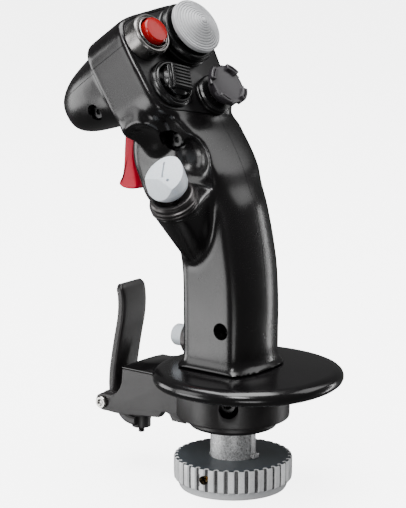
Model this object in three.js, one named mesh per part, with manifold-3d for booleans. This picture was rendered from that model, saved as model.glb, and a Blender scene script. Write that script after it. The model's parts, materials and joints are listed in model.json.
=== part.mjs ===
// Flight joystick: hand grip with a five-switch head, trigger, hand rest, paddle lever and plug base.
// Millimetres. +Z up along the grip, +Y forward (the trigger side), +X to the pilot's right.
// The origin is on the plug axis, in the plane the ring nut stands on.
import * as THREE from "three";
import { mergeVertices } from "three/addons/utils/BufferGeometryUtils.js";
import Module from "manifold-3d";

const wasm = await Module();
wasm.setup();

// ---------- driving dimensions ----------
const GAP = 0.3; // clearance between pieces that touch
const WALL = 2.8; // thickness of the grip shells

const NUT = { r: 28, foot: 25, bore: 20, height: 15, lid: 3.4, ribs: 34 };
const TUBE = { r: 10.7, bore: 7.5, top: 29 };
const PLUG = { r: 18.9, bore: 15.5, height: 11.2, pins: 5, pinCircle: 9 };
const NECK = { r: 21, z0: 29.3, z1: 33.7 };
const COLLAR = { r: 26.5, z0: 34, z1: 50.6, bore: 14, access: 4.6 };
const REST = { z0: 51, z1: 58.5, cy: -7, rx: 44, rear: 45, front: 41, bore: 11 };
const BRACKET = { inner: 11.4, outer: 15.4, hingeY: 67, hingeZ: 32 };
const LEVER = { half: 9, thick: 4.4, armY: 55.4 };

const FACE = { point: [0, 7.1, 173.2], normal: [-0.06, -0.832, 0.552] };
const SLAB_DEPTH = 27;
const COVER_SEAM = 44.4; // height up the face at which the top cover parts from the two halves
const TRIGGER = { pivot: [-3, 53.5, 169.6], half: 6.2 };
const POST = { foot: [-15, 9.5, 109], ring: [-33.5, 7.5, 138] };

// ---------- solids ----------
const X = new THREE.Vector3(1, 0, 0);
const Y = new THREE.Vector3(0, 1, 0);
const Z = new THREE.Vector3(0, 0, 1);

function solid(geometry, matrix) {
  const bare = geometry.clone();
  bare.deleteAttribute("normal");
  bare.deleteAttribute("uv");
  // The shift keeps seam points off the rounding steps that vertices are merged on.
  const merged = mergeVertices(bare.translate(3.3e-5, 3.3e-5, 3.3e-5), 1e-4);
  merged.translate(-3.3e-5, -3.3e-5, -3.3e-5);
  if (matrix) merged.applyMatrix4(matrix);
  return new wasm.Manifold(
    new wasm.Mesh({
      numProp: 3,
      vertProperties: new Float32Array(merged.attributes.position.array),
      triVerts: new Uint32Array(merged.index.array),
    }),
  );
}

const union = (...parts) => parts.reduce((a, b) => a.add(b));
const cut = (body, ...tools) => tools.reduce((a, b) => a.subtract(b), body);

// The frame whose z axis is `axis`, standing at `at`, with `side` setting its x axis.
function frameOf(at, axis, side = Math.abs(axis[0]) > 0.9 * Math.hypot(...axis) ? Y : X) {
  const z = new THREE.Vector3(...axis).normalize();
  const x = side.clone().addScaledVector(z, -side.dot(z)).normalize();
  const y = new THREE.Vector3().crossVectors(z, x);
  return new THREE.Matrix4().makeBasis(x, y, z).setPosition(...at);
}

// A straight round bar along the local z axis from z0 to z1, its radius running from r0 to r1.
function bar(r0, z0, z1, matrix, { r1 = r0, sides = 18 } = {}) {
  const g = new THREE.CylinderGeometry(r1, r0, z1 - z0, sides);
  g.rotateX(Math.PI / 2).translate(0, 0, (z0 + z1) / 2);
  return solid(g, matrix);
}

function box(x0, x1, y0, y1, z0, z1, matrix) {
  const g = new THREE.BoxGeometry(x1 - x0, y1 - y0, z1 - z0);
  g.translate((x0 + x1) / 2, (y0 + y1) / 2, (z0 + z1) / 2);
  return solid(g, matrix);
}

function ball(rx, ry, rz, at, sides = 24) {
  const g = new THREE.SphereGeometry(1, sides, sides / 2);
  g.scale(rx, ry, rz).translate(...at);
  return solid(g);
}

// A turned body: `profile` is [radius, height] pairs that start and end on the axis or close a loop.
function turned(profile, matrix, sides = 24) {
  const g = new THREE.LatheGeometry(profile.map((p) => new THREE.Vector2(...p)), sides);
  g.rotateX(Math.PI / 2);
  const made = solid(g, matrix);
  if (made.volume() > 0) return made;
  return turned([...profile].reverse(), matrix, sides);
}

// A ring profile for `turned`, closed on itself.
const ringProfile = (inner, outer, z0, z1) => [
  [inner, z0], [outer, z0], [outer, z1], [inner, z1], [inner, z0],
];

// A skin through equal-length rings of points, closed by a fan at each end.
function loft(rings, matrix) {
  const n = rings[0].length;
  const points = rings.flat();
  const centre = (ring) => ring.reduce((s, p) => s.map((v, k) => v + p[k] / n), [0, 0, 0]);
  points.push(centre(rings[0]), centre(rings.at(-1)));
  const [first, last] = [points.length - 2, points.length - 1];
  const top = (rings.length - 1) * n;
  const faces = [];
  for (let i = 0; i < n; i++) {
    const j = (i + 1) % n;
    for (let k = 0; k < top; k += n)
      faces.push(k + i, k + j, k + n + j, k + i, k + n + j, k + n + i);
    faces.push(first, j, i, last, top + i, top + j);
  }
  const g = new THREE.BufferGeometry();
  g.setAttribute("position", new THREE.Float32BufferAttribute(points.flat(), 3));
  g.setIndex(faces);
  let made = solid(g, matrix);
  if (made.volume() > 0) return made;
  for (let i = 0; i < faces.length; i += 3) [faces[i], faces[i + 1]] = [faces[i + 1], faces[i]];
  g.setIndex(faces);
  made = solid(g, matrix);
  return made;
}

// A flat outline of [a, b] pairs pushed along the local z axis, with an optional rounded edge.
function pushed(outline, z0, z1, matrix, bevel = 0) {
  const shape = new THREE.Shape(outline.map((p) => new THREE.Vector2(...p)));
  const g = new THREE.ExtrudeGeometry(shape, {
    depth: z1 - z0 - 2 * bevel,
    bevelEnabled: bevel > 0,
    bevelSize: bevel,
    bevelThickness: bevel,
    bevelOffset: -bevel,
    bevelSegments: 2,
  });
  g.translate(0, 0, z0 + bevel);
  return solid(g, matrix);
}

// A smooth closed curve through the given plane points, as `count` points.
function smoothLoop(points, count) {
  const curve = new THREE.CatmullRomCurve3(
    points.map(([a, b]) => new THREE.Vector3(a, b, 0)), true, "centripetal",
  );
  return curve.getSpacedPoints(count).slice(0, count).map((p) => [p.x, p.y]);
}

// The loop drawn in by `d` towards its inside.
function inset(loop, d) {
  const n = loop.length;
  const area = loop.reduce((s, [x, y], i) => {
    const [u, v] = loop[(i + 1) % n];
    return s + x * v - u * y;
  }, 0);
  const turn = Math.sign(area);
  return loop.map(([x, y], i) => {
    const [x0, y0] = loop[(i + n - 1) % n];
    const [x1, y1] = loop[(i + 1) % n];
    const l = Math.hypot(x1 - x0, y1 - y0);
    return [x - (turn * d * (y1 - y0)) / l, y + (turn * d * (x1 - x0)) / l];
  });
}

// ---------- materials ----------
const paint = (color, roughness, metalness) =>
  new THREE.MeshStandardMaterial({ color, roughness, metalness });
const LOOK = {
  shell: paint(0x2a272a, 0.4, 0.5),
  casting: paint(0x2e2b2e, 0.38, 0.5),
  panel: paint(0x1b191b, 0.42, 0.3),
  dark: paint(0x151416, 0.4, 0.3),
  gunmetal: paint(0x77736f, 0.3, 0.9),
  silver: paint(0xb9bbbd, 0.35, 0.95),
  steel: paint(0x8d8f92, 0.35, 0.95),
  blued: paint(0x5f676f, 0.4, 0.8),
  brass: paint(0xb08d4a, 0.35, 0.95),
  red: paint(0xe01020, 0.15, 0),
  pink: paint(0xf0304f, 0.3, 0),
  grey: paint(0x9a9c9e, 0.45, 0.1),
  white: paint(0xdfe6ee, 0.4, 0),
  board: paint(0x1f5a3a, 0.5, 0),
};

const root = new THREE.Group();
root.name = "flight_joystick";

// Adds one named piece to the scene; `group` carries the frame that its solid was made in.
function piece(name, body, look, group = root) {
  const { vertProperties, triVerts, numProp } = body.getMesh();
  const g = new THREE.BufferGeometry();
  const xyz = new Float32Array((vertProperties.length / numProp) * 3);
  for (let i = 0; i * numProp < vertProperties.length; i++)
    xyz.set(vertProperties.subarray(i * numProp, i * numProp + 3), i * 3);
  g.setAttribute("position", new THREE.BufferAttribute(xyz, 3));
  g.setIndex(new THREE.BufferAttribute(triVerts, 1));
  g.computeVertexNormals();
  const mesh = new THREE.Mesh(g, LOOK[look]);
  mesh.name = name;
  group.add(mesh);
  return mesh;
}

function station(name, matrix) {
  const group = new THREE.Group();
  group.name = name;
  group.applyMatrix4(matrix);
  root.add(group);
  return group;
}

// ---------- the grip's outer form ----------
// One level of the shaft: flat flanks joined by a rear and a front arc.
function shaftRing({ z, left, right, rear, rearCorner, frontCorner, front }, thin = 0) {
  const arc = (from, to, corner, crown) => {
    const ring = [];
    for (let i = 0; i < 10; i++) {
      const t = (i / 10) * Math.PI;
      const x = (from + to) / 2 + ((from - to) / 2) * Math.cos(t);
      ring.push([x, corner + (crown - corner) * Math.sin(t) ** 0.9, z]);
    }
    return ring;
  };
  const flank = (x, y0, y1) => [0, 0.34, 0.67].map((t) => [x, y0 + (y1 - y0) * t, z]);
  const [l, r] = [left + thin, right - thin];
  const [rc, fc] = [rearCorner + thin * 0.7, frontCorner - thin * 0.7];
  return [
    ...arc(l, r, rc, rear + thin),
    ...flank(r, rc, fc),
    ...arc(r, l, fc, front - thin),
    ...flank(l, fc, rc),
  ];
}

// z, left, right, rear, rear corner, front corner, front
const SHAFT_ROWS = [
  [58.8, -22, 20.6, -21.2, -13.4, 14.2, 23.4],
  [60.6, -20.2, 18.8, -19.4, -12, 12.6, 21.9],
  [63.5, -19.1, 17.8, -18.2, -10.9, 11.5, 20.9],
  [73, -19, 17.6, -18.4, -10.6, 11.4, 20.7],
  [85, -19, 17.6, -18.8, -10.4, 11.5, 20.7],
  [96, -19, 17.6, -18.4, -10.1, 11.8, 20.6],
  [106, -19, 17.6, -17.6, -9.4, 12.8, 20.8],
  [115, -19, 17.3, -16.4, -8, 15, 22.4],
  [122, -19, 17, -15.2, -6.8, 18, 25],
  [128, -19, 16.6, -13.9, -5.8, 23, 30.5],
  [133, -19.3, 16.3, -12.8, -4.8, 30, 37.5],
  [137, -19.6, 16, -11.5, -4, 34, 41.5],
  [144, -20, 15.4, -8.3, -3.2, 36.5, 45],
  [151, -20.8, 14.4, -5.6, -3.4, 38.5, 47.5],
  [158, -21.4, 13.8, -2, -0.6, 39, 48],
  [165, -22.6, 13.6, 2.2, 3.8, 38, 46],
  [171, -25, 13.6, 6.4, 8.2, 36, 44],
  [179, -28.5, 13, 13.5, 16, 36, 44],
].map(([z, left, right, rear, rearCorner, frontCorner, front]) => ({
  z, left, right, rear, rearCorner, frontCorner, front,
}));

// Switch face outline, across and up the face from its lowest point, clockwise from the left foot.
const FACE_OUTLINE = [
  [-34.6, 12], [-36.6, 18], [-37, 30], [-37, 42], [-36.2, 50], [-32.5, 55.4], [-26, 57.6],
  [-10, 59.2], [4, 60.2], [13, 59.4], [18.6, 55.5], [20.4, 48], [20, 36], [18.2, 24],
  [15.6, 10], [12.5, 4.2], [6, 1.4], [-1, 0.5], [-10, 2.4], [-20, 5], [-29.5, 7.8],
];

// Nose sections: depth behind the face, then the lobe's middle and half sizes there.
const NOSE_ROWS = [
  [20, -9.5, 34, 23.5, 24.6],
  [27, -10, 36, 22.8, 22],
  [34, -10.8, 37, 21.8, 19.8],
  [42, -11.6, 38.2, 20.4, 17.4],
  [50, -12.4, 38.8, 18.4, 15.2],
  [57, -13, 38.8, 15.6, 12.8],
  [62, -13.6, 38.7, 12.2, 10],
  [65.4, -14, 38.6, 7.6, 6.4],
];

// The cheek that hangs below the face on the left: depth, middle and half sizes as above.
const CHEEK_ROWS = [
  [7, -22, 15, 11, 6],
  [12, -21.2, 12, 16, 11],
  [18, -21, 10.5, 16.5, 12.8],
  [23.5, -21, 10.5, 16.4, 12.6],
  [26.4, -21, 11, 15.2, 11.4],
  [27.6, -21, 11.4, 13, 9.4],
];

const faceFrame = frameOf(FACE.point, FACE.normal);
const faceLoop = smoothLoop(FACE_OUTLINE, 40);

function lobeRing([w, u, e, hu, he], thin = 0) {
  const ring = [];
  for (let i = 0; i < 26; i++) {
    const t = (i / 26) * 2 * Math.PI;
    const [c, s] = [Math.cos(t), Math.sin(t)];
    const square = (v) => Math.sign(v) * Math.abs(v) ** 0.78;
    ring.push([u + (hu - thin) * square(c), e + (he - thin) * square(s), -w]);
  }
  return ring;
}

// The outer form for thin = 0, and the hollow inside it for the wall thickness.
function gripForm(thin) {
  const shaft = loft(SHAFT_ROWS.map((row) => shaftRing(row, thin)));
  const outline = thin ? inset(faceLoop, thin) : faceLoop;
  const slab = pushed(outline, -SLAB_DEPTH + thin, thin ? -thin : 0, faceFrame, thin ? 1 : 2.4);
  const rows = thin ? NOSE_ROWS.slice(0, -1) : NOSE_ROWS;
  const nose = loft(rows.map((row) => lobeRing(row, thin)), faceFrame);
  const low = thin ? CHEEK_ROWS.slice(1, -1) : CHEEK_ROWS;
  const cheek = loft(low.map((row) => lobeRing(row, thin)), faceFrame);
  return union(shaft, slab, nose, cheek);
}

// Where the side-switch post meets the left flank: forward, height.
const POST_PRINT = [
  [-4, 146], [-2.4, 138], [-2.2, 130], [-1.6, 122.5], [0, 116.4], [3, 111], [6.4, 107.2], [9.6, 105.6],
  [12.8, 107.2], [16, 111], [19, 116.4], [21, 122.5], [21.8, 130], [22, 138], [22, 146],
];

// The post that carries the side switch, spreading from its round rim down to the left flank.
function postForm(thin) {
  const axis = [0, 1, 2].map((k) => POST.ring[k] - POST.foot[k]);
  if (thin) return bar(8.2 - thin, 9, Math.hypot(...axis), frameOf(POST.foot, axis), { r1: 11 - thin });
  const frame = frameOf(POST.ring, axis, Y);
  const rim = [];
  for (let i = 0; i < 24; i++) {
    const a = (i / 24) * 2 * Math.PI;
    rim.push(new THREE.Vector3(11 * Math.cos(a), 11 * Math.sin(a), 0).applyMatrix4(frame).toArray());
  }
  return wasm.Manifold.hull([...rim, ...POST_PRINT.map(([y, z]) => [-17, y, z])]);
}

// The thumb hollow beside the post, and the pocket behind it that stops at a level ledge.
const SCOOP = { at: [-39, 24, 156], size: [15.5, 17, 17] };
const POCKET = { at: [-28, 7, 157.5], size: [11.5, 10.8, 11.5], ledge: 148.8 };

function scoops(extra, sides) {
  const wide = ball(...SCOOP.size.map((s) => s + extra), SCOOP.at, sides);
  const pocket = ball(...POCKET.size.map((s) => s + extra), POCKET.at, sides);
  return wide.add(pocket.intersect(box(-60, 20, -40, 60, POCKET.ledge - extra, 200)));
}

// Case screws: a seat point on the left, then the head's depth and radius.
const CASE_SCREWS = [
  { at: [-19, -6.8, 78.8], sink: 9, far: 10, well: 4 },
  { at: [-31, 59, 174.6], sink: 8, far: 5, well: 3.9 },
  { at: [-26, 17, 165], sink: 8, far: 9, well: 5 },
];
const sideFrame = (at) => frameOf(at, [-1, 0, 0], Y);

function screwBoss({ at, far, well }) {
  const length = far - at[0];
  return bar(well + 1.6, -length, -2.2, sideFrame(at), { sides: 16 });
}

function screwBore({ at, sink, far, well }) {
  const frame = sideFrame(at);
  const length = far - at[0];
  return union(
    bar(well, -sink, 12, frame, { sides: 20 }),
    bar(1.9, -length + 3, 1, frame, { sides: 12 }),
  );
}

const postAxis = [0, 1, 2].map((k) => POST.ring[k] - POST.foot[k]);
const sideSwitchFrame = frameOf(POST.ring, postAxis, Y);
const frontButtonFrame = frameOf([0, 20.9, 67.8], [0, 1, 0], X);

function grip() {
  let outer = cut(union(gripForm(0), postForm(0)), scoops(0, 20));
  const hollow = cut(union(gripForm(WALL), postForm(WALL)), scoops(WALL, 16));
  outer = cut(outer, hollow);
  for (const screw of CASE_SCREWS) outer = outer.add(screwBoss(screw));
  for (const screw of CASE_SCREWS) outer = outer.subtract(screwBore(screw));
  const seat = pushed(inset(faceLoop, 2), -2.3, 4, faceFrame);
  const opening = pushed(inset(faceLoop, 5.4), -8, 1, faceFrame);
  const [px, py, pz] = TRIGGER.pivot;
  const slot = box(px - 7.4, px + 7.4, py - 8, py + 10, pz - 34, pz + 7);
  const sensor = box(px - 5.3, px + 5.3, py - 21.3, py - 7, pz - 6.3, pz + 6.3);
  const axle = bar(1.6, -17, 17, frameOf([px, py, pz], [1, 0, 0]), { sides: 12 });
  const front = union(bar(6.4, -14, 8, frontButtonFrame), bar(9, 0.1, 8, frontButtonFrame));
  const floor = bar(REST.bore, 50, 62);
  const postBore = bar(6.2, -12, 4, sideSwitchFrame);
  const wells = Object.values(STATIONS).map(({ at, hole, depth }) =>
    bar(hole, -depth, 0, faceStation(...at)));
  return cut(outer, seat, opening, slot, sensor, axle, front, floor, postBore, ...wells);
}

// ---------- the grip's shells ----------
function shells() {
  const body = grip();
  const far = 300;
  const cover = box(-far, far, COVER_SEAM + GAP / 2, far, -far, far, faceFrame);
  const below = box(-far, far, -far, COVER_SEAM - GAP / 2, -far, far, faceFrame);
  const left = box(-far, -GAP / 2, -far, far, -far, far);
  const right = box(GAP / 2, far, -far, far, -far, far);
  const main = (s) => s.decompose().sort((a, b) => b.volume() - a.volume())[0];
  piece("left_shell", main(body.intersect(below).intersect(left)), "shell");
  piece("right_shell", main(body.intersect(below).intersect(right)), "shell");
  piece("head_cover", main(body.intersect(cover)), "shell");
}

function caseScrews() {
  CASE_SCREWS.forEach(({ at, sink, far }, i) => {
    const group = station(`case_screw_station_${i + 1}`, sideFrame(at));
    const length = far - at[0];
    const head = turned([[0, -sink + GAP], [3.5, -sink + GAP], [3.5, -sink + 1.8],
      [2.9, -sink + 2.4], [0, -sink + 2.4]], undefined, 20);
    const shank = bar(1.6, -length + 4, -sink + 1, undefined, { sides: 12 });
    const socket = bar(1.5, -sink + 1, -sink + 4, undefined, { sides: 6 });
    piece(`case_screw_${i + 1}`, cut(union(head, shank), socket), "steel", group);
  });
}

// ---------- switches on the face ----------
const faceStation = (u, e) =>
  new THREE.Matrix4().copy(faceFrame).multiply(new THREE.Matrix4().makeTranslation(u, e, 0));

const STATIONS = {
  fire: { at: [-25.8, 44], hole: 7.4, depth: 14.4 },
  trim: { at: [-0.5, 42], hole: 10.2, depth: 13.4 },
  select: { at: [-22, 20.7], hole: 8.6, depth: 12.4 },
  castle: { at: [0.5, 11.2], hole: 7.6, depth: 12.4 },
};

function facePanel() {
  let plate = pushed(inset(faceLoop, 2.35), -2, 0, undefined, 0);
  for (const { at, hole } of Object.values(STATIONS))
    plate = plate.subtract(
      bar(hole, -4, 2, new THREE.Matrix4().makeTranslation(...at, 0)),
    );
  piece("face_panel", plate, "panel", station("face_panel_seat", faceFrame));
}

function fireButton() {
  const group = station("fire_button_station", faceStation(...STATIONS.fire.at));
  const bezel = turned([[4.2, 0.3], [10, 0.3], [10, 6.6], [8.8, 8.6], [7.2, 8.6], [7.0, 1.5], [4.2, 1.5], [4.2, 0.3]]);
  const barrel = turned([[0, -14], [7, -14], [7, -0.2], [3.8, -0.2], [3.8, 0.9], [2.6, 0.9], [2.6, -10.4], [0, -10.4]]);
  const cap = turned([[0, -7.6], [2.2, -7.6], [2.2, 4.4], [6.35, 4.4], [6.35, 10.6],
    [5.6, 11.3], [3.4, 11.45], [0, 11.5]]);
  piece("fire_bezel", bezel, "gunmetal", group);
  piece("fire_switch_body", barrel, "dark", group);
  piece("fire_button", cap, "red", group);
}

// The parts every tilting switch shares: a cross disc that turns about x, under a cap turning about y.
function tiltCross(name, z, group) {
  const cross = union(box(-2.6, 2.6, -0.8, 0.8, z - 0.8, z + 0.8), box(-0.8, 0.8, -2.6, 2.6, z - 0.8, z + 0.8));
  piece(name, cross, "steel", group);
}

function trimHat() {
  const group = station("trim_hat_station", faceStation(...STATIONS.trim.at));
  const ring = turned([[9.9, -9], [9.9, 0.3], [15, 0.3], [15, 5.8], [13.6, 7.6],
    [11.6, 7.6], [9.6, 4.4], [9.6, 3], [4, 3], [4, 1.4], [8.4, 0.2], [8.4, -9], [9.9, -9]], undefined, 28);
  const socket = turned([[0, -13], [8, -13], [8, -1], [2.2, -1], [2.2, 3], [0, 3]]);
  const cap = turned([[0, 6], [2.4, 6], [2.4, 9.4], [10.4, 9.4], [13.3, 10.4], [13.3, 12.1],
    [12, 13.2], [8.8, 15.2], [4.6, 17], [0, 17.8]], undefined, 28);
  piece("trim_hat_ring", ring, "dark", group);
  piece("trim_hat_switch_body", socket, "dark", group);
  tiltCross("trim_hat_cross", 4.4, group);
  piece("trim_hat_cap", cap, "grey", group);
}

function castleSwitch() {
  const group = station("castle_switch_station", faceStation(...STATIONS.castle.at));
  const base = turned([[7, 0.3], [9.6, 0.3], [9.6, 3.4], [8.6, 4.2], [4.6, 4.2], [4.6, 2.4], [7, 1.4], [7, 0.3]]);
  const socket = turned([[0, -12], [7.2, -12], [7.2, -0.4], [2.2, -0.4], [2.2, 2], [0, 2]]);
  let cap = turned([[0, 5], [3, 5], [3, 6.2], [7.2, 6.2], [7.6, 9.2], [10.4, 10.3], [10.4, 11.6],
    [9.6, 12.8], [7.6, 12.8], [7, 11.7], [0, 11.5]]);
  for (let i = 0; i < 4; i++) {
    const a = (i * Math.PI) / 2;
    const at = [11 * Math.cos(a), 11 * Math.sin(a), 0];
    cap = cap.subtract(bar(2.4, 9, 15, new THREE.Matrix4().makeTranslation(...at), { sides: 12 }));
  }
  piece("castle_switch_collar", base, "dark", group);
  piece("castle_switch_body", socket, "dark", group);
  tiltCross("castle_switch_cross", 3.4, group);
  piece("castle_switch_cap", cap, "dark", group);
}

function selectSwitch() {
  const group = station("select_switch_station", faceStation(...STATIONS.select.at));
  const ring = turned([[8.4, 0.3], [11.5, 0.3], [11.5, 3], [10.6, 4], [9.2, 4], [8.4, 2.6], [8.4, 0.3]]);
  const socket = turned([[0, -12], [8.2, -12], [8.2, -0.4], [2.2, -0.4], [2.2, 1], [0, 1]]);
  const dome = turned([[0, 3.6], [3, 3.6], [3, 4.4], [7.8, 4.4], [7.2, 6.2], [5, 7.6], [0, 8.2]]);
  const turn = new THREE.Matrix4().makeRotationZ(-0.41);
  let pad = box(-5.6, 5.3, -6, 6, 6, 9.7, turn);
  for (let i = -2.5; i <= 2.5; i++) {
    const y = i * 1.68;
    pad = pad.subtract(box(-7, 7, y - 0.4, y + 0.4, 8.8, 13, turn));
  }
  piece("select_switch_ring", ring, "dark", group);
  piece("select_switch_body", socket, "dark", group);
  tiltCross("select_switch_cross", 2.4, group);
  piece("select_switch_cap", union(dome, pad), "dark", group);
}

// ---------- side switch on the left blister ----------
function sideSwitch() {
  const group = station("side_switch_station", sideSwitchFrame);
  const housing = turned([[0, -9], [5.8, -9], [5.8, 0.4], [11.4, 0.4], [11.4, 3.2], [10.6, 3.6],
    [10.6, 4.4], [10, 6.2], [8.2, 6.2], [8.2, 4], [2.2, 3], [2.2, 4.6], [0, 4.6]]);
  tiltCross("side_switch_cross", 6, group);
  let knob = turned([[0, 7.2], [6.2, 7.2], [7, 8], [8.6, 9.8], [9.3, 11.8], [9.3, 18.6], [8.6, 24], [0, 24]]);
  const facets = [
    [[0, 0, 19.2], [0.16, 0.26, 1]], [[0, 0, 19.2], [-0.16, 0.36, 1]], [[0, 3.4, 18.1], [0.12, 1.35, 1]],
  ];
  for (const [at, normal] of facets)
    knob = knob.subtract(box(-30, 30, -30, 30, 0, 24, frameOf(at, normal)));
  piece("side_switch_housing", housing, "gunmetal", group);
  piece("side_switch_knob", knob, "white", group);
}

// ---------- trigger ----------
function trigger() {
  const [px, py, pz] = TRIGGER.pivot;
  const group = station("trigger_station", new THREE.Matrix4().makeTranslation(px, py, pz));
  const side = frameOf([0, 0, 0], [1, 0, 0], Y); // local x is forward, local y is up
  const blade = smoothLoop([
    [-3.6, 3], [0, 4.4], [2.8, 2.6], [3.4, -4], [4.2, -14], [4.6, -21], [5.6, -27], [7.6, -31.4],
    [5, -33], [-1, -33], [-3.6, -31.6], [-3, -26], [-1.6, -18], [-2.6, -8],
  ], 36);
  const h = TRIGGER.half;
  const body = pushed(blade, -h, h, side, 0.8);
  const bore = bar(1.65, -h - 2, h + 2, side, { sides: 16 });
  piece("trigger", body.subtract(bore), "pink", group);
  piece("trigger_axle", bar(1.4, -14, 14, side, { sides: 16 }), "steel", group);
}

function triggerSwitch() {
  const [px, py, pz] = TRIGGER.pivot;
  piece("trigger_microswitch", box(px - 5, px + 5, py - 21, py - 12, pz - 6, pz + 6), "dark");
  piece("trigger_plunger", box(px - 1.5, px + 1.5, py - 11.7, py - 9.4, pz - 1.6, pz + 1.6), "steel");
}

// ---------- thumb button low on the front ----------
function frontButton() {
  const group = station("front_button_station", frontButtonFrame);
  const rows = [[3.4, 0.5], [8.6, 0.5], [8.6, 1.5], [8, 1.7], [8, 2.3], [8.6, 2.5], [8.6, 3.8],
    [7.6, 4.8], [5.6, 4.8], [5.6, 1.9], [3.4, 1.9], [3.4, 0.5]];
  const body = turned([[0, -9], [6, -9], [6, 0.2], [3, 0.2], [3, 1.4], [2, 1.4], [2, -6], [0, -6]]);
  const cap = turned([[0, -3.4], [1.7, -3.4], [1.7, 3.8], [5.2, 3.8], [5.2, 11.8], [4.2, 12.9], [0, 13]]);
  piece("front_button_bezel", turned(rows), "gunmetal", group);
  piece("front_button_body", body, "dark", group);
  piece("front_button_cap", cap, "white", group);
}

// ---------- hand rest ----------
function handRest() {
  const plan = (d, z) => {
    const ring = [];
    for (let i = 0; i < 56; i++) {
      const t = (i / 56) * 2 * Math.PI;
      const x = (REST.rx - d) * Math.sign(Math.cos(t)) * Math.abs(Math.cos(t)) ** 0.92;
      const reach = Math.sin(t) > 0 ? REST.front : REST.rear;
      const y = REST.cy + (reach - d) * Math.sign(Math.sin(t)) * Math.abs(Math.sin(t)) ** 0.92;
      ring.push([x, y, z]);
    }
    return ring;
  };
  const body = loft([plan(3.6, REST.z0), plan(1.2, 52), plan(0, 54.4), plan(0.5, 56.6), plan(2.6, REST.z1)]);
  piece("hand_rest", body.add(restTongue()).subtract(bar(REST.bore, 48, 62)), "shell");
}

// The rest's crowned tongue, which lies on the bracket and thins towards the lever.
function restTongue() {
  const half = BRACKET.outer;
  return loft([[20, 6.6], [30, 6.2], [38, 4.6], [46, 2.8], [52, 1.6], [54.4, 0.8]].map(([y, crown]) => {
    const arch = [[-1, 0.3], [-0.8, 0.5], [-0.45, 0.88], [0.45, 0.88], [0.8, 0.5], [1, 0.3]];
    const top = arch.map(([x, h]) => [x * half, y, REST.z0 + h * crown]);
    return [[-half, y, REST.z0], ...top, [half, y, REST.z0]];
  }));
}

// ---------- base casting, with the lever's bracket ----------
const CHEEK = [
  [8, 30], [24.6, 30], [25.4, 31.6], [27.2, 33.4], [29.6, 33.4], [31.6, 31.6], [32.6, 30.2],
  [44, 29], [54, 27.8], [64.5, 27.9], [67, 27.8], [69.6, 28.7], [71.3, 31.6], [70.4, 34.8], [68, 36.1],
  [62.5, 36.2], [60, 36.8], [56.6, 39.6], [54.8, 44], [54.4, 50.6], [8, 50.6],
];

function baseCasting() {
  const collar = turned(ringProfile(COLLAR.bore, COLLAR.r, COLLAR.z0, COLLAR.z1), undefined, 40);
  const side = frameOf([0, 0, 0], [1, 0, 0], Y);
  const plates = [-1, 1].map((s) => {
    const [a, b] = [s * BRACKET.inner, s * BRACKET.outer].sort((p, q) => p - q);
    return pushed(CHEEK.map(([y, z]) => [y, z]), a, b, side);
  });
  const web = box(-12, 12, 22, 46, 46.6, COLLAR.z1);
  const keep = bar(COLLAR.bore, 20, 60, undefined, { sides: 40 });
  const lower = bar(NECK.r + 1, 20, COLLAR.z0, undefined, { sides: 40 });
  const pinHole = bar(2.3, -20, 20, frameOf([0, BRACKET.hingeY, BRACKET.hingeZ], [1, 0, 0]));
  const access = bar(COLLAR.access, 10, 30, frameOf([0, 0, 44.4], [-0.87, -0.49, 0], Z));
  return cut(union(collar, ...plates, web), keep, lower, pinHole, access);
}

function base() {
  piece("base_casting", baseCasting(), "casting");
  piece("neck_ring", turned(ringProfile(TUBE.bore, NECK.r, NECK.z0, NECK.z1), undefined, 32), "casting");
  const group = station("collar_screw_station", frameOf([0, 0, 44.4], [-0.87, -0.49, 0], Z));
  const screw = turned([[0, 15], [4.2, 15], [4.2, 20], [3.6, 21], [0, 21]]);
  const socket = bar(2.2, 18, 23, undefined, { sides: 6 });
  piece("collar_set_screw", screw.subtract(socket), "steel", group);
}

// ---------- lever ----------
// Middle line of the lever from the stop screw under the bracket, round the hinge, up to its tip.
const LEVER_LINE = [
  [54.6, 22.2], [58, 22.3], [62, 24.1], [65.8, 29.4], [66.8, 38], [66.4, 46], [64.9, 55],
  [63.1, 64], [61.4, 72], [60.7, 79], [61.1, 85], [62.5, 89.4],
];

function lever() {
  const line = new THREE.CatmullRomCurve3(LEVER_LINE.map(([y, z]) => new THREE.Vector3(0, y, z)))
    .getSpacedPoints(26).map((p) => [p.y, p.z]);
  const sections = line.map((p, i, all) => {
    const [a, b] = [all[Math.max(i - 1, 0)], all[Math.min(i + 1, all.length - 1)]];
    const l = Math.hypot(b[0] - a[0], b[1] - a[1]);
    const n = [(b[1] - a[1]) / l, (a[0] - b[0]) / l];
    const t = LEVER.thick / 2;
    const h = p[1] < 30 ? 6.6 : LEVER.half;
    const c = 1.3;
    const flat = [[h, t - c], [h - c, t], [c - h, t], [-h, t - c], [-h, c - t], [c - h, -t], [h - c, -t], [h, c - t]];
    return flat.map(([x, d]) => [x, p[0] + n[0] * d, p[1] + n[1] * d]);
  });
  const hinge = frameOf([0, BRACKET.hingeY, BRACKET.hingeZ], [1, 0, 0]);
  const barrel = bar(4.6, -10.6, 10.6, hinge);
  const bore = bar(2.35, -12, 12, hinge);
  const arm = new THREE.Matrix4().makeTranslation(0, LEVER.armY, 0);
  const pad = bar(4.6, 18.4, 24.8, arm, { sides: 20 });
  const screwHole = bar(1.9, 10, 31, arm, { sides: 16 });
  piece("paddle_lever", cut(union(loft(sections), barrel, pad), bore, screwHole), "casting");
  const pinGroup = station("lever_hinge_station", frameOf([0, BRACKET.hingeY, BRACKET.hingeZ], [-1, 0, 0]));
  const pin = turned([[0, -17.6], [2, -17.6], [2, 15.7], [3, 15.7], [3, 16.7], [2.6, 17.3], [0, 17.3]]);
  piece("paddle_hinge_pin", pin, "steel", pinGroup);
}

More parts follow.
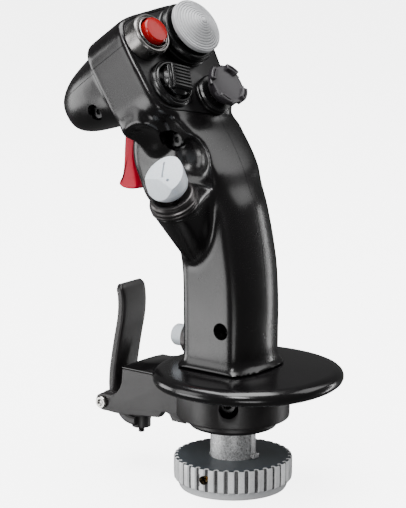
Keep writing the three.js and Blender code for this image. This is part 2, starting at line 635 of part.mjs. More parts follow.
function leverFittings() {
  const y = LEVER.armY;
  const group = station("lever_screw_station", new THREE.Matrix4().makeTranslation(0, y, 0));
  piece("lever_adjust_screw", bar(1.6, 15.6, 30.3, undefined, { sides: 16 }), "steel", group);
  const nut = cut(bar(3.2, 27.2, 29.6, undefined, { sides: 6 }), bar(1.9, 20, 31, undefined, { sides: 16 }));
  piece("lever_lock_nut", nut, "dark", group);
  piece("lever_microswitch", box(-6, 6, y - 9, y + 3, 33.8, 42), "dark");
  piece("lever_plunger", box(-1.5, 1.5, y - 1.5, y + 1.5, 31.2, 33.5), "brass");
}

// ---------- plug base ----------
function plug() {
  const tube = turned([[TUBE.bore, PLUG.height], [TUBE.bore, TUBE.top], [TUBE.r, TUBE.top],
    [TUBE.r, 11.3], [PLUG.r, 11.3], [PLUG.r, 0.4], [PLUG.bore, 0.4], [PLUG.bore, PLUG.height],
    [TUBE.bore, PLUG.height]], undefined, 30);
  piece("connector_tube", tube, "silver");
  let core = bar(PLUG.bore - 2 * GAP, 0, PLUG.height - GAP, undefined, { sides: 28 });
  for (let i = 0; i < PLUG.pins; i++) core = core.subtract(bar(2.6, -1, 7.4, pinFrame(i), { sides: 12 }));
  piece("connector_insulator", core, "dark");
  for (let i = 0; i < PLUG.pins; i++)
    piece(`contact_pin_${i + 1}`, bar(1.3, 0.6, 7.1, pinFrame(i), { r1: 1.5, sides: 12 }), "brass");
  const key = box(-2.2, 2.2, -13.6, -11, 15.3, 19);
  piece("key_peg", key, "silver");
}

const pinFrame = (i) => {
  const a = ((i + 0.5) * 2 * Math.PI) / PLUG.pins;
  return new THREE.Matrix4().makeTranslation(
    PLUG.pinCircle * Math.cos(a), PLUG.pinCircle * Math.sin(a), 0,
  );
};

function ringNut() {
  const ring = turned([[NUT.bore - 0.7, 0], [NUT.foot, 0], [NUT.foot + 0.4, 1], [NUT.r - 0.8, 4.4],
    [NUT.r - 0.8, NUT.height - 0.6], [NUT.r - 1.4, NUT.height], [TUBE.r + 0.4, NUT.height],
    [TUBE.r + 0.4, NUT.height - NUT.lid], [NUT.bore - 0.7, NUT.height - NUT.lid], [NUT.bore - 0.7, 0]],
  undefined, NUT.ribs);
  let body = ring;
  for (let i = 0; i < NUT.ribs; i++) {
    const turn = new THREE.Matrix4().makeRotationZ((i * 2 * Math.PI) / NUT.ribs);
    body = body.add(box(NUT.r - 1.6, NUT.r, -1.5, 1.5, 4.8, NUT.height - 1, turn));
  }
  const screwFrame = frameOf([0, 0, 9.6], [-0.991, -0.131, 0], Z);
  body = body.subtract(bar(2.2, 18, 32, screwFrame, { sides: 16 }));
  piece("ring_nut", body, "silver");
  piece("nut_grub_screw", bar(1.9, 20.4, 24.4, undefined, { sides: 16 }), "brass",
    station("grub_screw_station", screwFrame));
}

// ---------- inside the grip ----------
function innards() {
  piece("circuit_board", box(-13, 13, 3, 4.6, 66, 118), "board");
  piece("board_connector", box(-8, 8, 5, 11, 70, 78), "dark");
}

shells();
caseScrews();
facePanel();
fireButton();
trimHat();
castleSwitch();
selectSwitch();
sideSwitch();
trigger();
triggerSwitch();
frontButton();
handRest();
base();
lever();
leverFittings();
plug();
ringNut();
innards();

export default root;
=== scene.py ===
import bpy, bmesh, json, math
import numpy as np
from mathutils import Matrix, Vector
from mathutils.bvhtree import BVHTree

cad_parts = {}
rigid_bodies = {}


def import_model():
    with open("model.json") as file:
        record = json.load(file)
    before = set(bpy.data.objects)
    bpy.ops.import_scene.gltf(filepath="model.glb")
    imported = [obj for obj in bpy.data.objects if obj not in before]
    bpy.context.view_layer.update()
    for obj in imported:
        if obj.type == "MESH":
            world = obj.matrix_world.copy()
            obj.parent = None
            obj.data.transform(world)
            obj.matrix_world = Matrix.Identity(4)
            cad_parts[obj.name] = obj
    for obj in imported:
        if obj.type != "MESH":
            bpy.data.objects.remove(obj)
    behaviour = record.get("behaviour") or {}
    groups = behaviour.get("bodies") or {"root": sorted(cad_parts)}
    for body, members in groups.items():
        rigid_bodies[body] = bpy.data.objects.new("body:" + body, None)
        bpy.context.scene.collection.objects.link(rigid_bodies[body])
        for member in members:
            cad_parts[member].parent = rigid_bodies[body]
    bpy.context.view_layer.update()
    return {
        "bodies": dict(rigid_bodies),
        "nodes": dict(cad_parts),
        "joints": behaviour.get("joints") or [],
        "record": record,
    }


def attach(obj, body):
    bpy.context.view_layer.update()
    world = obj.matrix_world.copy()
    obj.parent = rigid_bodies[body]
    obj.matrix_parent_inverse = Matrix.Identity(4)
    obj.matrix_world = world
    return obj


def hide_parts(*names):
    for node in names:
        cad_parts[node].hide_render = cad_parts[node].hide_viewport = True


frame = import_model()
NODES = frame["nodes"]
MM = 0.001
TURN = 2 * math.pi
X_AXIS, Y_AXIS, Z_AXIS = (1, 0, 0), (0, 1, 0), (0, 0, 1)

# ---- camera
CAM_AT = (-0.7682, -0.5720, 0.3177)
AXES = ((0.609, -0.793, 0.0), (0.168, 0.129, 0.977), (-0.775, -0.595, 0.211))


def camera():
    data = bpy.data.cameras.new("camera")
    data.sensor_width = 36
    data.lens = 150.8
    data.clip_start = 0.01
    data.clip_end = 50
    cam = placed("camera", data)
    right, up, back = (Vector(a).normalized() for a in AXES)
    up = back.cross(right).normalized()
    right = up.cross(back).normalized()
    cam.matrix_world = Matrix(((right.x, up.x, back.x, CAM_AT[0]), (right.y, up.y, back.y, CAM_AT[1]),
        (right.z, up.z, back.z, CAM_AT[2]), (0, 0, 0, 1)))
    bpy.context.scene.camera = cam


# ---- node helpers
class Tree:
    """A thin wrapper that adds nodes to a material and links them by socket name."""

    def __init__(self, material):
        material.use_nodes = True
        self.tree = material.node_tree
        self.tree.nodes.clear()

    def add(self, kind, inputs=None, **props):
        node = self.tree.nodes.new("ShaderNode" + kind)
        for key, value in props.items():
            setattr(node, key, value)
        for key, value in (inputs or {}).items():
            socket = node.inputs[key]
            if isinstance(value, bpy.types.NodeSocket):
                self.tree.links.new(value, socket)
            else:
                socket.default_value = value
        return node

    def ramp(self, factor, stops):
        node = self.add("ValToRGB", {"Fac": factor})
        ramp = node.color_ramp
        while len(ramp.elements) > 1:
            ramp.elements.remove(ramp.elements[-1])
        ramp.elements[0].position, ramp.elements[0].color = stops[0][0], rgba(stops[0][1])
        for position, color in stops[1:]:
            element = ramp.elements.new(position)
            element.color = rgba(color)
        return node.outputs["Color"]

    def span(self, value, low, high, a=0.0, b=1.0):
        node = self.add("MapRange", {"Value": value, "From Min": a, "From Max": b, "To Min": low,
            "To Max": high})
        return node.outputs["Result"]


def rgba(c):
    return (c, c, c, 1) if isinstance(c, (int, float)) else (*c, 1)


def noise(t, coords, scale, detail=3.0, rough=0.55):
    return t.add("TexNoise", {"Vector": coords, "Scale": scale, "Detail": detail,
        "Roughness": rough}).outputs["Fac"]


def surface(name, dark, light, rough, bump=0.0, grain=900.0, metallic=0.0, patch=60.0, spec=0.5, coat=0.0,
        wear=None, sub=0.0):
    """A painted, moulded or turned finish: mottled colour, uneven gloss, fine grain, worn edges."""
    material = bpy.data.materials.new(name)
    t = Tree(material)
    coords = t.add("TexCoord").outputs["Object"]
    broad = noise(t, coords, patch, 4.0)
    fine = noise(t, coords, grain, 2.0, 0.6)
    mixed = t.add("Math", {0: broad, 1: fine}, operation="ADD").outputs[0]
    half = t.add("Math", {0: mixed, 1: 0.5}, operation="MULTIPLY").outputs[0]
    colour = t.ramp(half, [(0.36, dark), (0.64, light)])
    gloss = t.span(half, rough[0], rough[1], 0.35, 0.65)
    if wear:
        edge = t.add("NewGeometry").outputs["Pointiness"]
        worn = t.add("Math", {0: edge, 1: broad}, operation="MULTIPLY").outputs[0]
        factor = t.span(worn, 0, wear[1], wear[2], wear[3])
        colour = t.add("Mix", {"Factor": factor, 6: colour, 7: rgba(wear[0])},
            data_type="RGBA").outputs[2]
    shader = t.add("BsdfPrincipled", {"Base Color": colour, "Roughness": gloss,
        "Metallic": metallic, "Specular IOR Level": spec})
    if coat:
        shader.inputs["Coat Weight"].default_value = coat
        shader.inputs["Coat Roughness"].default_value = 0.06
    if sub:
        shader.inputs["Subsurface Weight"].default_value = sub
        shader.inputs["Subsurface Radius"].default_value = (0.004, 0.003, 0.003)
        shader.inputs["Subsurface Scale"].default_value = 0.6
    if bump:
        b = t.add("Bump", {"Height": fine, "Strength": 1.0, "Distance": bump})
        t.tree.links.new(b.outputs["Normal"], shader.inputs["Normal"])
    t.add("OutputMaterial", {"Surface": shader.outputs[0]})
    return material


def floor_finish():
    """A near-white paper sweep that gives back a little light of its own."""
    material = bpy.data.materials.new("floor")
    t = Tree(material)
    coords = t.add("TexCoord").outputs["Object"]
    tone = t.ramp(noise(t, coords, 3.0, 3.0), [(0.3, 0.80), (0.7, 0.83)])
    shader = t.add("BsdfPrincipled", {"Base Color": tone, "Roughness": 0.6,
        "Specular IOR Level": 0.2, "Emission Color": (1, 1, 1, 1), "Emission Strength": 5.0})
    t.add("OutputMaterial", {"Surface": shader.outputs[0]})
    return material


# Each finish: its name, darker and lighter colour, range of roughness, and the other settings of surface().
FINISHES = {
    "shell": ("shell_paint", (0.0022, 0.0019, 0.0022), (0.0045, 0.0039, 0.0043), (0.2, 0.28),
        dict(bump=0.000006, grain=1500, spec=0.62, patch=45)),
    "casting": ("casting_paint", (0.0052, 0.004, 0.0043), (0.0098, 0.0078, 0.0084), (0.36, 0.46),
        dict(bump=0.00003, grain=1300, spec=0.6, patch=50, wear=((0.04, 0.036, 0.036), 0.6, 0.31, 0.40))),
    "panel": ("panel_paint", (0.004, 0.0036, 0.004), (0.0075, 0.0068, 0.0076), (0.28, 0.38),
        dict(bump=0.00003, grain=1700, spec=0.55)),
    "black": ("black_plastic", (0.0022, 0.0022, 0.0025), (0.0048, 0.0046, 0.005), (0.2, 0.3),
        dict(bump=0.00001, grain=2200)),
    "rest": ("rest_paint", (0.002, 0.0018, 0.0021), (0.004, 0.0036, 0.004), (0.16, 0.24),
        dict(bump=0.000012, grain=1500, spec=0.65, patch=40)),
    "castle": ("castle_plastic", (0.016, 0.014, 0.017), (0.03, 0.027, 0.031), (0.3, 0.42),
        dict(bump=0.00001, grain=2200, spec=0.6, patch=120)),
    "gunmetal": ("gunmetal", (0.17, 0.165, 0.16), (0.30, 0.29, 0.285), (0.22, 0.36),
        dict(metallic=1.0, grain=2600, bump=0.000008, patch=120)),
    "dark_metal": ("dark_metal", (0.045, 0.042, 0.042), (0.085, 0.08, 0.08), (0.24, 0.38),
        dict(metallic=0.9, grain=2600, bump=0.000008, patch=120)),
    "silver": ("cast_silver", (0.30, 0.30, 0.30), (0.90, 0.91, 0.92), (0.3, 0.5),
        dict(metallic=0.35, grain=1700, bump=0.00012, patch=900)),
    "nut": ("nut_silver", (0.70, 0.71, 0.72), (0.92, 0.93, 0.94), (0.3, 0.46),
        dict(metallic=0.1, grain=1600, bump=0.00004, patch=160)),
    # Painted shade: a dark blue-grey copy of the nut's silver for its upward top face, which lies under the
    # base.
    "nut_top": ("nut_top", (0.055, 0.065, 0.075), (0.10, 0.115, 0.13), (0.3, 0.44),
        dict(metallic=0.2, grain=1500, bump=0.00004, patch=110)),
    # Painted shade: a dark copy of the nut's silver for the grooves between its ribs.
    "nut_groove": ("nut_groove", (0.04, 0.04, 0.042), (0.16, 0.16, 0.165), (0.4, 0.55),
        dict(metallic=0.1, grain=1600, bump=0.00004, patch=300)),
    "nut_lip": ("nut_lip", (0.80, 0.82, 0.84), (0.90, 0.91, 0.93), (0.26, 0.36),
        dict(metallic=0.05, grain=1600, bump=0.000008, patch=120)),
    "steel": ("bright_steel", (0.42, 0.41, 0.39), (0.66, 0.65, 0.62), (0.16, 0.32),
        dict(metallic=1.0, grain=2400, bump=0.00001, patch=200)),
    "brass": ("brass", (0.42, 0.29, 0.12), (0.62, 0.45, 0.2), (0.2, 0.36),
        dict(metallic=1.0, grain=2400, bump=0.00001, patch=200)),
    "red": ("red_gloss", (0.26, 0.0, 0.0), (0.34, 0.0, 0.001), (0.16, 0.22),
        dict(spec=0.3, coat=0.1, grain=700, patch=90)),
    "pink": ("trigger_red", (0.56, 0.0, 0.024), (0.66, 0.001, 0.036), (0.34, 0.44),
        dict(spec=0.25, grain=1400, bump=0.000006, patch=70)),
    "grey": ("hat_grey", (0.40, 0.405, 0.415), (0.54, 0.545, 0.56), (0.36, 0.5),
        dict(spec=0.4, grain=1800, bump=0.00002, patch=120)),
    "white": ("pale_plastic", (0.66, 0.71, 0.77), (0.80, 0.85, 0.90), (0.3, 0.42),
        dict(spec=0.45, grain=1500, bump=0.000008, patch=70, sub=0.12)),
    "board": ("board_green", (0.01, 0.09, 0.035), (0.02, 0.15, 0.06), (0.3, 0.45),
        dict(grain=1500, patch=300)),
}
MAT = {key: surface(*plain, **more) for key, (*plain, more) in FINISHES.items()}
MAT["floor"] = floor_finish()
# The part's material slots and the finish that each gets, then the slot of every finish.
LOOK_OF_SLOT = {"shell_paint": "shell", "casting_paint": "casting", "panel_paint": "panel",
    "black_plastic": "black", "gunmetal": "gunmetal", "cast_silver": "silver", "steel": "steel",
    "brass": "brass", "red_gloss": "red", "pink_red": "pink", "grey_plastic": "grey",
    "pale_plastic": "white", "board_green": "board"}
SLOT_OF_LOOK = {look: slot for slot, look in LOOK_OF_SLOT.items()}
SLOT_OF_LOOK.update(rest="shell_paint", castle="black_plastic", nut="cast_silver", dark_metal="gunmetal")


# ---- mesh helpers (millimetres)
def unit(v):
    v = np.array(v, float)
    return v / np.linalg.norm(v)


def frame_of(at, axis, side=None):
    z = unit(axis)
    side = np.array(side if side is not None else ((0, 1, 0) if abs(z[0]) > 0.9 else X_AXIS), float)
    x = unit(side - z * (side @ z))
    y = np.cross(z, x)
    m = np.eye(4)
    m[:3, 0], m[:3, 1], m[:3, 2], m[:3, 3] = x, y, z, at
    return m


def apply(m, points):
    points = np.asarray(points, float).reshape(-1, 3)
    return points @ m[:3, :3].T + m[:3, 3]


def placed(name, data):
    obj = bpy.data.objects.new(name, data)
    bpy.context.scene.collection.objects.link(obj)
    return obj


def from_bmesh(name, bm):
    mesh = bpy.data.meshes.new(name)
    bm.to_mesh(mesh)
    bm.free()
    return placed(name, mesh)


def mesh_object(name, verts, faces, m=None):
    """A solid from points in millimetres, moved by m, with its faces turned outwards."""
    verts = apply(m, verts) if m is not None else np.asarray(verts, float)
    mesh = bpy.data.meshes.new(name)
    mesh.from_pydata((verts * MM).tolist(), [], [list(f) for f in faces])
    mesh.validate()
    bm = bmesh.new()
    bm.from_mesh(mesh)
    bmesh.ops.remove_doubles(bm, verts=bm.verts, dist=1e-6)
    bmesh.ops.recalc_face_normals(bm, faces=bm.faces)
    if bm.calc_volume(signed=True) < 0:
        bmesh.ops.reverse_faces(bm, faces=bm.faces)
    bm.to_mesh(mesh)
    bm.free()
    return placed(name, mesh)


def rounded(profile, radius=0.3, steps=3):
    """The profile with each corner between two long enough runs turned into a small arc."""
    closed = profile[0] == profile[-1]
    pts = [np.array(p, float) for p in (profile[:-1] if closed else profile)]
    out = []
    n = len(pts)
    for i, p in enumerate(pts):
        if not closed and i in (0, n - 1):
            out.append(p)
            continue
        a, b = pts[i - 1], pts[(i + 1) % n]
        la, lb = np.linalg.norm(a - p), np.linalg.norm(b - p)
        ua, ub = (a - p) / la, (b - p) / lb
        turn = math.acos(max(-1.0, min(1.0, float(ua @ ub))))
        if turn > math.radians(165) or turn < math.radians(5):
            out.append(p)
            continue
        back = min(radius / math.tan(turn / 2), 0.42 * la, 0.42 * lb)
        start, end = p + ua * back, p + ub * back
        for k in range(steps + 1):
            t = k / steps
            out.append((1 - t) ** 2 * start + 2 * t * (1 - t) * p + t * t * end)
    return out, closed


def lathe(name, profile, m=None, segs=96, radius=0.3, steps=3):
    pts, closed = rounded(profile, radius, steps)
    ring_count = len(pts)
    verts, faces = [], []
    index = []
    for r, z in pts:
        if r < 1e-4:
            index.append([len(verts)])
            verts.append((0, 0, z))
        else:
            index.append(list(range(len(verts), len(verts) + segs)))
            angles = [TURN * k / segs for k in range(segs)]
            verts += [(r * math.cos(a), r * math.sin(a), z) for a in angles]
    pairs = list(zip(range(ring_count - 1), range(1, ring_count)))
    if closed:
        pairs.append((ring_count - 1, 0))
    for a, b in pairs:
        ra, rb = index[a], index[b]
        for k in range(segs):
            j = (k + 1) % segs
            if len(ra) == 1 and len(rb) == 1:
                continue
            if len(ra) == 1:
                faces.append((ra[0], rb[k], rb[j]))
            elif len(rb) == 1:
                faces.append((ra[k], rb[0], ra[j]))
            else:
                faces.append((ra[k], rb[k], rb[j], ra[j]))
    return mesh_object(name, verts, faces, m)


def loft(name, rings, m=None):
    n = len(rings[0])
    verts = [tuple(p) for ring in rings for p in ring]
    faces = []
    for k in range(len(rings) - 1):
        for i in range(n):
            j = (i + 1) % n
            faces.append((k * n + i, k * n + j, (k + 1) * n + j, (k + 1) * n + i))
    for ring, base in ((rings[0], 0), (rings[-1], (len(rings) - 1) * n)):
        centre = len(verts)
        verts.append(tuple(np.mean(ring, axis=0)))
        for i in range(n):
            faces.append((centre, base + i, base + (i + 1) % n))
    return mesh_object(name, verts, faces, m)


def lift(outline, z):
    return [(x, y, z) for x, y in outline]


def prism(name, outline, z0, z1, m=None):
    rings = [lift(outline, z) for z in (z0, z1)]
    n = len(outline)
    verts = rings[0] + rings[1]
    faces = [(i, (i + 1) % n, n + (i + 1) % n, n + i) for i in range(n)]
    faces += [tuple(range(n))[::-1], tuple(range(n, 2 * n))]
    return mesh_object(name, verts, faces, m)


def block(name, x0, x1, y0, y1, z0, z1, m=None):
    return prism(name, [(x0, y0), (x1, y0), (x1, y1), (x0, y1)], z0, z1, m)


def bar(name, r, z0, z1, m=None, r1=None, segs=64):
    return lathe(name, [(0, z0), (r, z0), (r1 if r1 is not None else r, z1), (0, z1)], m, segs, 0.001, 1)


def hexagon(name, m, r, z0, z1):
    return lathe(name, [(0, z0), (r, z0), (r, z1), (0, z1)], m, 6, 0.01, 1)


def at(x, y, z):
    m = np.eye(4)
    m[:3, 3] = (x, y, z)
    return m


def run_modifier(obj, kind, **settings):
    mod = obj.modifiers.new(kind.lower(), kind)
    for key, value in settings.items():
        setattr(mod, key, value)
    depsgraph = bpy.context.evaluated_depsgraph_get()
    made = bpy.data.meshes.new_from_object(obj.evaluated_get(depsgraph))
    obj.modifiers.clear()
    old = obj.data
    obj.data = made
    bpy.data.meshes.remove(old)
    return obj


def boolean(obj, operation, *tools):
    for tool in tools:
        run_modifier(obj, "BOOLEAN", operation=operation, object=tool, solver="MANIFOLD")
        bpy.data.objects.remove(tool)
    return obj


def cut(obj, *tools):
    return boolean(obj, "DIFFERENCE", *tools)


def fuse(obj, *tools):
    return boolean(obj, "UNION", *tools)


def join(name, *objs):
    bm = bmesh.new()
    for o in objs:
        bm.from_mesh(o.data)
        bpy.data.objects.remove(o)
    return from_bmesh(name, bm)


def clone(obj, name):
    return placed(name, obj.data.copy())


def bevel(obj, width=0.3, segments=3, angle=35):
    return run_modifier(obj, "BEVEL", width=width * 0.001, segments=segments, limit_method="ANGLE",
        angle_limit=math.radians(angle), miter_outer="MITER_ARC")


def biggest(obj):
    """Drops any crumbs that a cut has left beside the main body."""
    bm = bmesh.new()
    bm.from_mesh(obj.data)
    spare, groups = set(bm.verts), []
    while spare:
        stack, group = [spare.pop()], []
        while stack:
            vert = stack.pop()
            group.append(vert)
            near = {edge.other_vert(vert) for edge in vert.link_edges} & spare
            spare -= near
            stack += near
        groups.append(group)
    groups.sort(key=len)
    bmesh.ops.delete(bm, geom=[v for g in groups[:-1] for v in g], context="VERTS")
    bm.to_mesh(obj.data)
    bm.free()
    return obj


def finish(obj, material, node=None, body="grip", angle=38):
    """Gives a piece its finish and shading, sets it on a body, and hides the CAD node that it stands for,
    if any.
    """
    obj.data.materials.clear()
    obj.data.materials.append(MAT[material])
    for p in obj.data.polygons:
        p.use_smooth = True
    obj.data.set_sharp_from_angle(angle=math.radians(angle))
    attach(obj, body)
    if node:
        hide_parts(node)
    return obj


def smooth_loop(points, count):
    """A closed centripetal Catmull-Rom curve through plane points, evenly spaced."""
    p = np.array(points, float)
    n = len(p)
    dense = []
    for i in range(n):
        p0, p1, p2, p3 = p[i - 1], p[i], p[(i + 1) % n], p[(i + 2) % n]
        d = [max(np.linalg.norm(b - a), 1e-6) ** 0.5 for a, b in ((p0, p1), (p1, p2), (p2, p3))]
        t0, t1, t2, t3 = 0, d[0], d[0] + d[1], d[0] + d[1] + d[2]
        for t in np.linspace(t1, t2, 24, endpoint=False):
            a1 = (t1 - t) / (t1 - t0) * p0 + (t - t0) / (t1 - t0) * p1
            a2 = (t2 - t) / (t2 - t1) * p1 + (t - t1) / (t2 - t1) * p2
            a3 = (t3 - t) / (t3 - t2) * p2 + (t - t2) / (t3 - t2) * p3
            b1 = (t2 - t) / (t2 - t0) * a1 + (t - t0) / (t2 - t0) * a2
            b2 = (t3 - t) / (t3 - t1) * a2 + (t - t1) / (t3 - t1) * a3
            dense.append((t2 - t) / (t2 - t1) * b1 + (t - t1) / (t2 - t1) * b2)
    dense = np.array(dense + [dense[0]])
    s = np.concatenate([[0], np.cumsum(np.linalg.norm(np.diff(dense, axis=0), axis=1))])
    want = np.linspace(0, s[-1], count, endpoint=False)
    return np.stack([np.interp(want, s, dense[:, k]) for k in (0, 1)], axis=1)


def spline_rows(rows, count):
    """Rows of numbers resampled along a Catmull-Rom curve through them."""
    r = np.array(rows, float)
    n = len(r)
    out = []
    for s in np.linspace(0, n - 1, count):
        i = min(int(s), n - 2)
        t = s - i
        p0, p1, p2, p3 = r[max(i - 1, 0)], r[i], r[i + 1], r[min(i + 2, n - 1)]
        out.append(0.5 * (2 * p1 + (p2 - p0) * t + (2 * p0 - 5 * p1 + 4 * p2 - p3) * t * t + (3 * p1 - p0
            - 3 * p2 + p3) * t ** 3))
    return np.array(out)


def inset(loop, d):
    loop = np.asarray(loop, float)
    nxt, prv = np.roll(loop, -1, axis=0), np.roll(loop, 1, axis=0)
    area = np.sum(loop[:, 0] * nxt[:, 1] - loop[:, 1] * nxt[:, 0])
    t = nxt - prv
    t /= np.linalg.norm(t, axis=1)[:, None]
    return loop + np.sign(area) * d * np.stack([-t[:, 1], t[:, 0]], axis=1)


# ---- the grip
# z, left, right, rear, rear corner, front corner, front
SHAFT_ROWS = [
    (58.8, -22, 20.6, -21.2, -13.4, 14.2, 23.4),
    (60.6, -20.2, 18.8, -19.4, -12, 12.6, 21.9),
    (63.5, -19.1, 17.8, -18.2, -10.9, 11.5, 20.9),
    (73, -19, 17.6, -18.4, -10.6, 11.4, 20.7),
    (85, -19, 17.6, -18.8, -10.4, 11.5, 20.7),
    (96, -19, 17.6, -18.4, -10.1, 11.8, 20.6),
    (106, -19, 17.6, -17.6, -9.4, 12.8, 20.8),
    (115, -19, 17.3, -16.4, -8, 15, 22.4),
    (122, -19, 17, -15.2, -6.8, 18, 25),
    (128, -19, 16.6, -13.9, -5.8, 23, 30.5),
    (133, -19.3, 16.3, -12.8, -4.8, 30, 37.5),
    (137, -19.6, 16, -11.5, -4, 34, 41.5),
    (144, -20, 15.4, -8.3, -3.2, 36.5, 45),
    (151, -20.8, 14.4, -5.6, -3.4, 38.5, 47.5),
    (158, -21.4, 13.8, -2, -0.6, 39, 48),
    (165, -22.6, 13.6, 2.2, 3.8, 38, 46),
    (171, -25, 13.6, 6.4, 8.2, 36, 44),
    (179, -28.5, 13, 13.5, 16, 36, 44),
]
# For the nose and the cheek below it: depth under the face, centre u and e, half sizes in u and e
NOSE_ROWS = [
    (20, -9.5, 34, 23.5, 24.6),
    (27, -10, 36, 22.8, 22),
    (34, -10.8, 37, 21.8, 19.8),
    (42, -11.6, 38.2, 20.4, 17.4),
    (50, -12.4, 38.8, 18.4, 15.2),
    (57, -13, 38.8, 15.6, 12.8),
    (62, -13.6, 38.7, 12.2, 10),
    (65.4, -14, 38.6, 7.6, 6.4),
]
CHEEK_ROWS = [
    (7, -22, 15, 11, 6),
    (12, -21.2, 12, 16, 11),
    (18, -21, 10.5, 16.5, 12.8),
    (23.5, -21, 10.5, 16.4, 12.6),
    (26.4, -21, 11, 15.2, 11.4),
    (27.6, -21, 11.4, 13, 9.4),
]
FACE_OUTLINE = [
    (-34.6, 12), (-36.6, 18), (-37, 30), (-37, 42), (-36.2, 50), (-32.5, 55.4), (-26, 57.6),
    (-10, 59.2), (4, 60.2), (13, 59.4), (18.6, 55.5), (20.4, 48), (20, 36), (18.2, 24),
    (15.6, 10), (12.5, 4.2), (6, 1.4), (-1, 0.5), (-10, 2.4), (-20, 5), (-29.5, 7.8),
]
# The switch face: u across, e up the slope, z out of it. Stations hold u, e, hole radius and depth.
FACE_FRAME = frame_of((0, 7.1, 173.2), (-0.06, -0.832, 0.552))
FACE_LOOP = smooth_loop(FACE_OUTLINE, 160)
SLAB_DEPTH = 27
COVER_SEAM = 44.4
TRIGGER_AT = (-3, 53.5, 169.6)
POST_FOOT, POST_RING = np.array((-15, 9.5, 109.0)), np.array((-33.5, 7.5, 138))
SIDE_FRAME = frame_of(POST_RING, POST_RING - POST_FOOT, Y_AXIS)
FRONT_FRAME = frame_of((0, 20.9, 67.8), Y_AXIS, X_AXIS)
STATIONS = {"fire": (-25.8, 44, 7.4, 14.4), "trim": (-0.5, 42, 10.2, 13.4),
    "select": (-22, 20.7, 8.6, 12.4), "castle": (0.5, 11.2, 7.6, 12.4)}


def shaft_ring(row, thin=0.0, arc_points=40, flank_points=12):
    z, left, right, rear, rear_corner, front_corner, front = row
    left, right = left + thin, right - thin
    rc, fc = rear_corner + thin * 0.7, front_corner - thin * 0.7
    ring = []

    def arc(a, b, corner, crown):
        for i in range(arc_points):
            t = i / arc_points * math.pi
            ring.append(((a + b) / 2 + (a - b) / 2 * math.cos(t),
                corner + (crown - corner) * math.sin(t) ** 0.9, z))

    def flank(x, y0, y1):
        for i in range(flank_points):
            ring.append((x, y0 + (y1 - y0) * i / flank_points, z))

    arc(left, right, rc, rear + thin)
    flank(right, rc, fc)
    arc(right, left, fc, front - thin)
    flank(left, fc, rc)
    return ring


def superellipse(x, y, rx, ry, power, z, count, rear=None):
    """A closed ring of points; the half towards -y may have a radius of its own."""
    ring = []
    for i in range(count):
        t = i / count * TURN
        c, s = math.cos(t), math.sin(t)
        reach = ry if s > 0 or rear is None else rear
        ring.append((x + rx * math.copysign(abs(c) ** power, c),
            y + reach * math.copysign(abs(s) ** power, s), z))
    return ring


def nose_ring(row, thin=0.0):
    w, u, e, hu, he = row
    return superellipse(u, e, hu - thin, he - thin, 0.78, -w, 96)


def slab(name, thin=0.0):
    loop = inset(FACE_LOOP, thin) if thin else FACE_LOOP
    depth, top = SLAB_DEPTH - thin, -thin if thin else 0
    rings = []
    edge = [(2.2, 0), (0.9, 0.35), (0.25, 1.1), (0, 2.2)] if not thin else [(0, 0)]
    for d, w in edge:
        rings.append(lift(inset(loop, d), top - w))
    for w in np.linspace(4, depth - 4, 5) if not thin else []:
        rings.append(lift(loop, -w))
    for d, w in reversed(edge):
        rings.append(lift(inset(loop, d), -depth + w))
    return loft(name, rings, FACE_FRAME)


# Where the side-switch post meets the left flank: forward, height.
POST_PRINT = [(-4, 146), (-2.4, 138), (-2.2, 130), (-1.6, 122.5), (0, 116.4), (3, 111), (6.4, 107.2),
    (9.6, 105.6), (12.8, 107.2), (16, 111), (19, 116.4), (21, 122.5), (21.8, 130), (22, 138), (22, 146)]


def hull(name, points):
    bm = bmesh.new()
    for q in points:
        bm.verts.new(Vector(q) * MM)
    bmesh.ops.convex_hull(bm, input=bm.verts)
    bmesh.ops.delete(bm, geom=[v for v in bm.verts if not v.link_faces], context="VERTS")
    return from_bmesh(name, bm)


def post(name, thin=0.0):
    if thin:
        length = float(np.linalg.norm(POST_RING - POST_FOOT))
        return bar(name, 8.2 - thin, 9, length, frame_of(POST_FOOT, POST_RING - POST_FOOT), r1=11 - thin)
    around = np.linspace(0, TURN, 72, endpoint=False)
    rim = [apply(SIDE_FRAME, [(11 * math.cos(a), 11 * math.sin(a), 0)])[0] for a in around]
    foot = [(-17, y, z) for y, z in spline_rows(POST_PRINT, 60)]
    return hull(name, rim + foot)


SCOOP_AT, SCOOP_SIZE = (-39, 24, 156), (15.5, 17, 17)
POCKET_AT, POCKET_SIZE, LEDGE = (-28, 7, 157.5), (11.5, 10.8, 11.5), 148.8


def ball(name, size, centre, segs=64):
    verts, faces = [], []
    rings = segs // 2
    for i in range(1, rings):
        p = math.pi * i / rings
        for k in range(segs):
            a = TURN * k / segs
            verts.append((size[0] * math.sin(p) * math.cos(a) + centre[0],
                size[1] * math.sin(p) * math.sin(a) + centre[1], size[2] * math.cos(p) + centre[2]))
    top, bottom = len(verts), len(verts) + 1
    verts += [(centre[0], centre[1], centre[2] + size[2]), (centre[0], centre[1], centre[2] - size[2])]
    for i in range(rings - 2):
        for k in range(segs):
            j = (k + 1) % segs
            faces.append((i * segs + k, (i + 1) * segs + k, (i + 1) * segs + j, i * segs + j))
    for k in range(segs):
        j = (k + 1) % segs
        faces.append((top, k, j))
        faces.append((bottom, (rings - 2) * segs + j, (rings - 2) * segs + k))
    return mesh_object(name, verts, faces)


def scoops(extra=0.0):
    """The thumb hollow beside the post, and the deeper pocket behind it that stops at a level ledge."""
    wide = ball("scoop", [v + extra for v in SCOOP_SIZE], SCOOP_AT)
    pocket = ball("pocket", [v + extra for v in POCKET_SIZE], POCKET_AT)
    boolean(pocket, "INTERSECT", block("above_ledge", -60, 20, -40, 60, LEDGE - extra, 200))
    return fuse(wide, pocket)


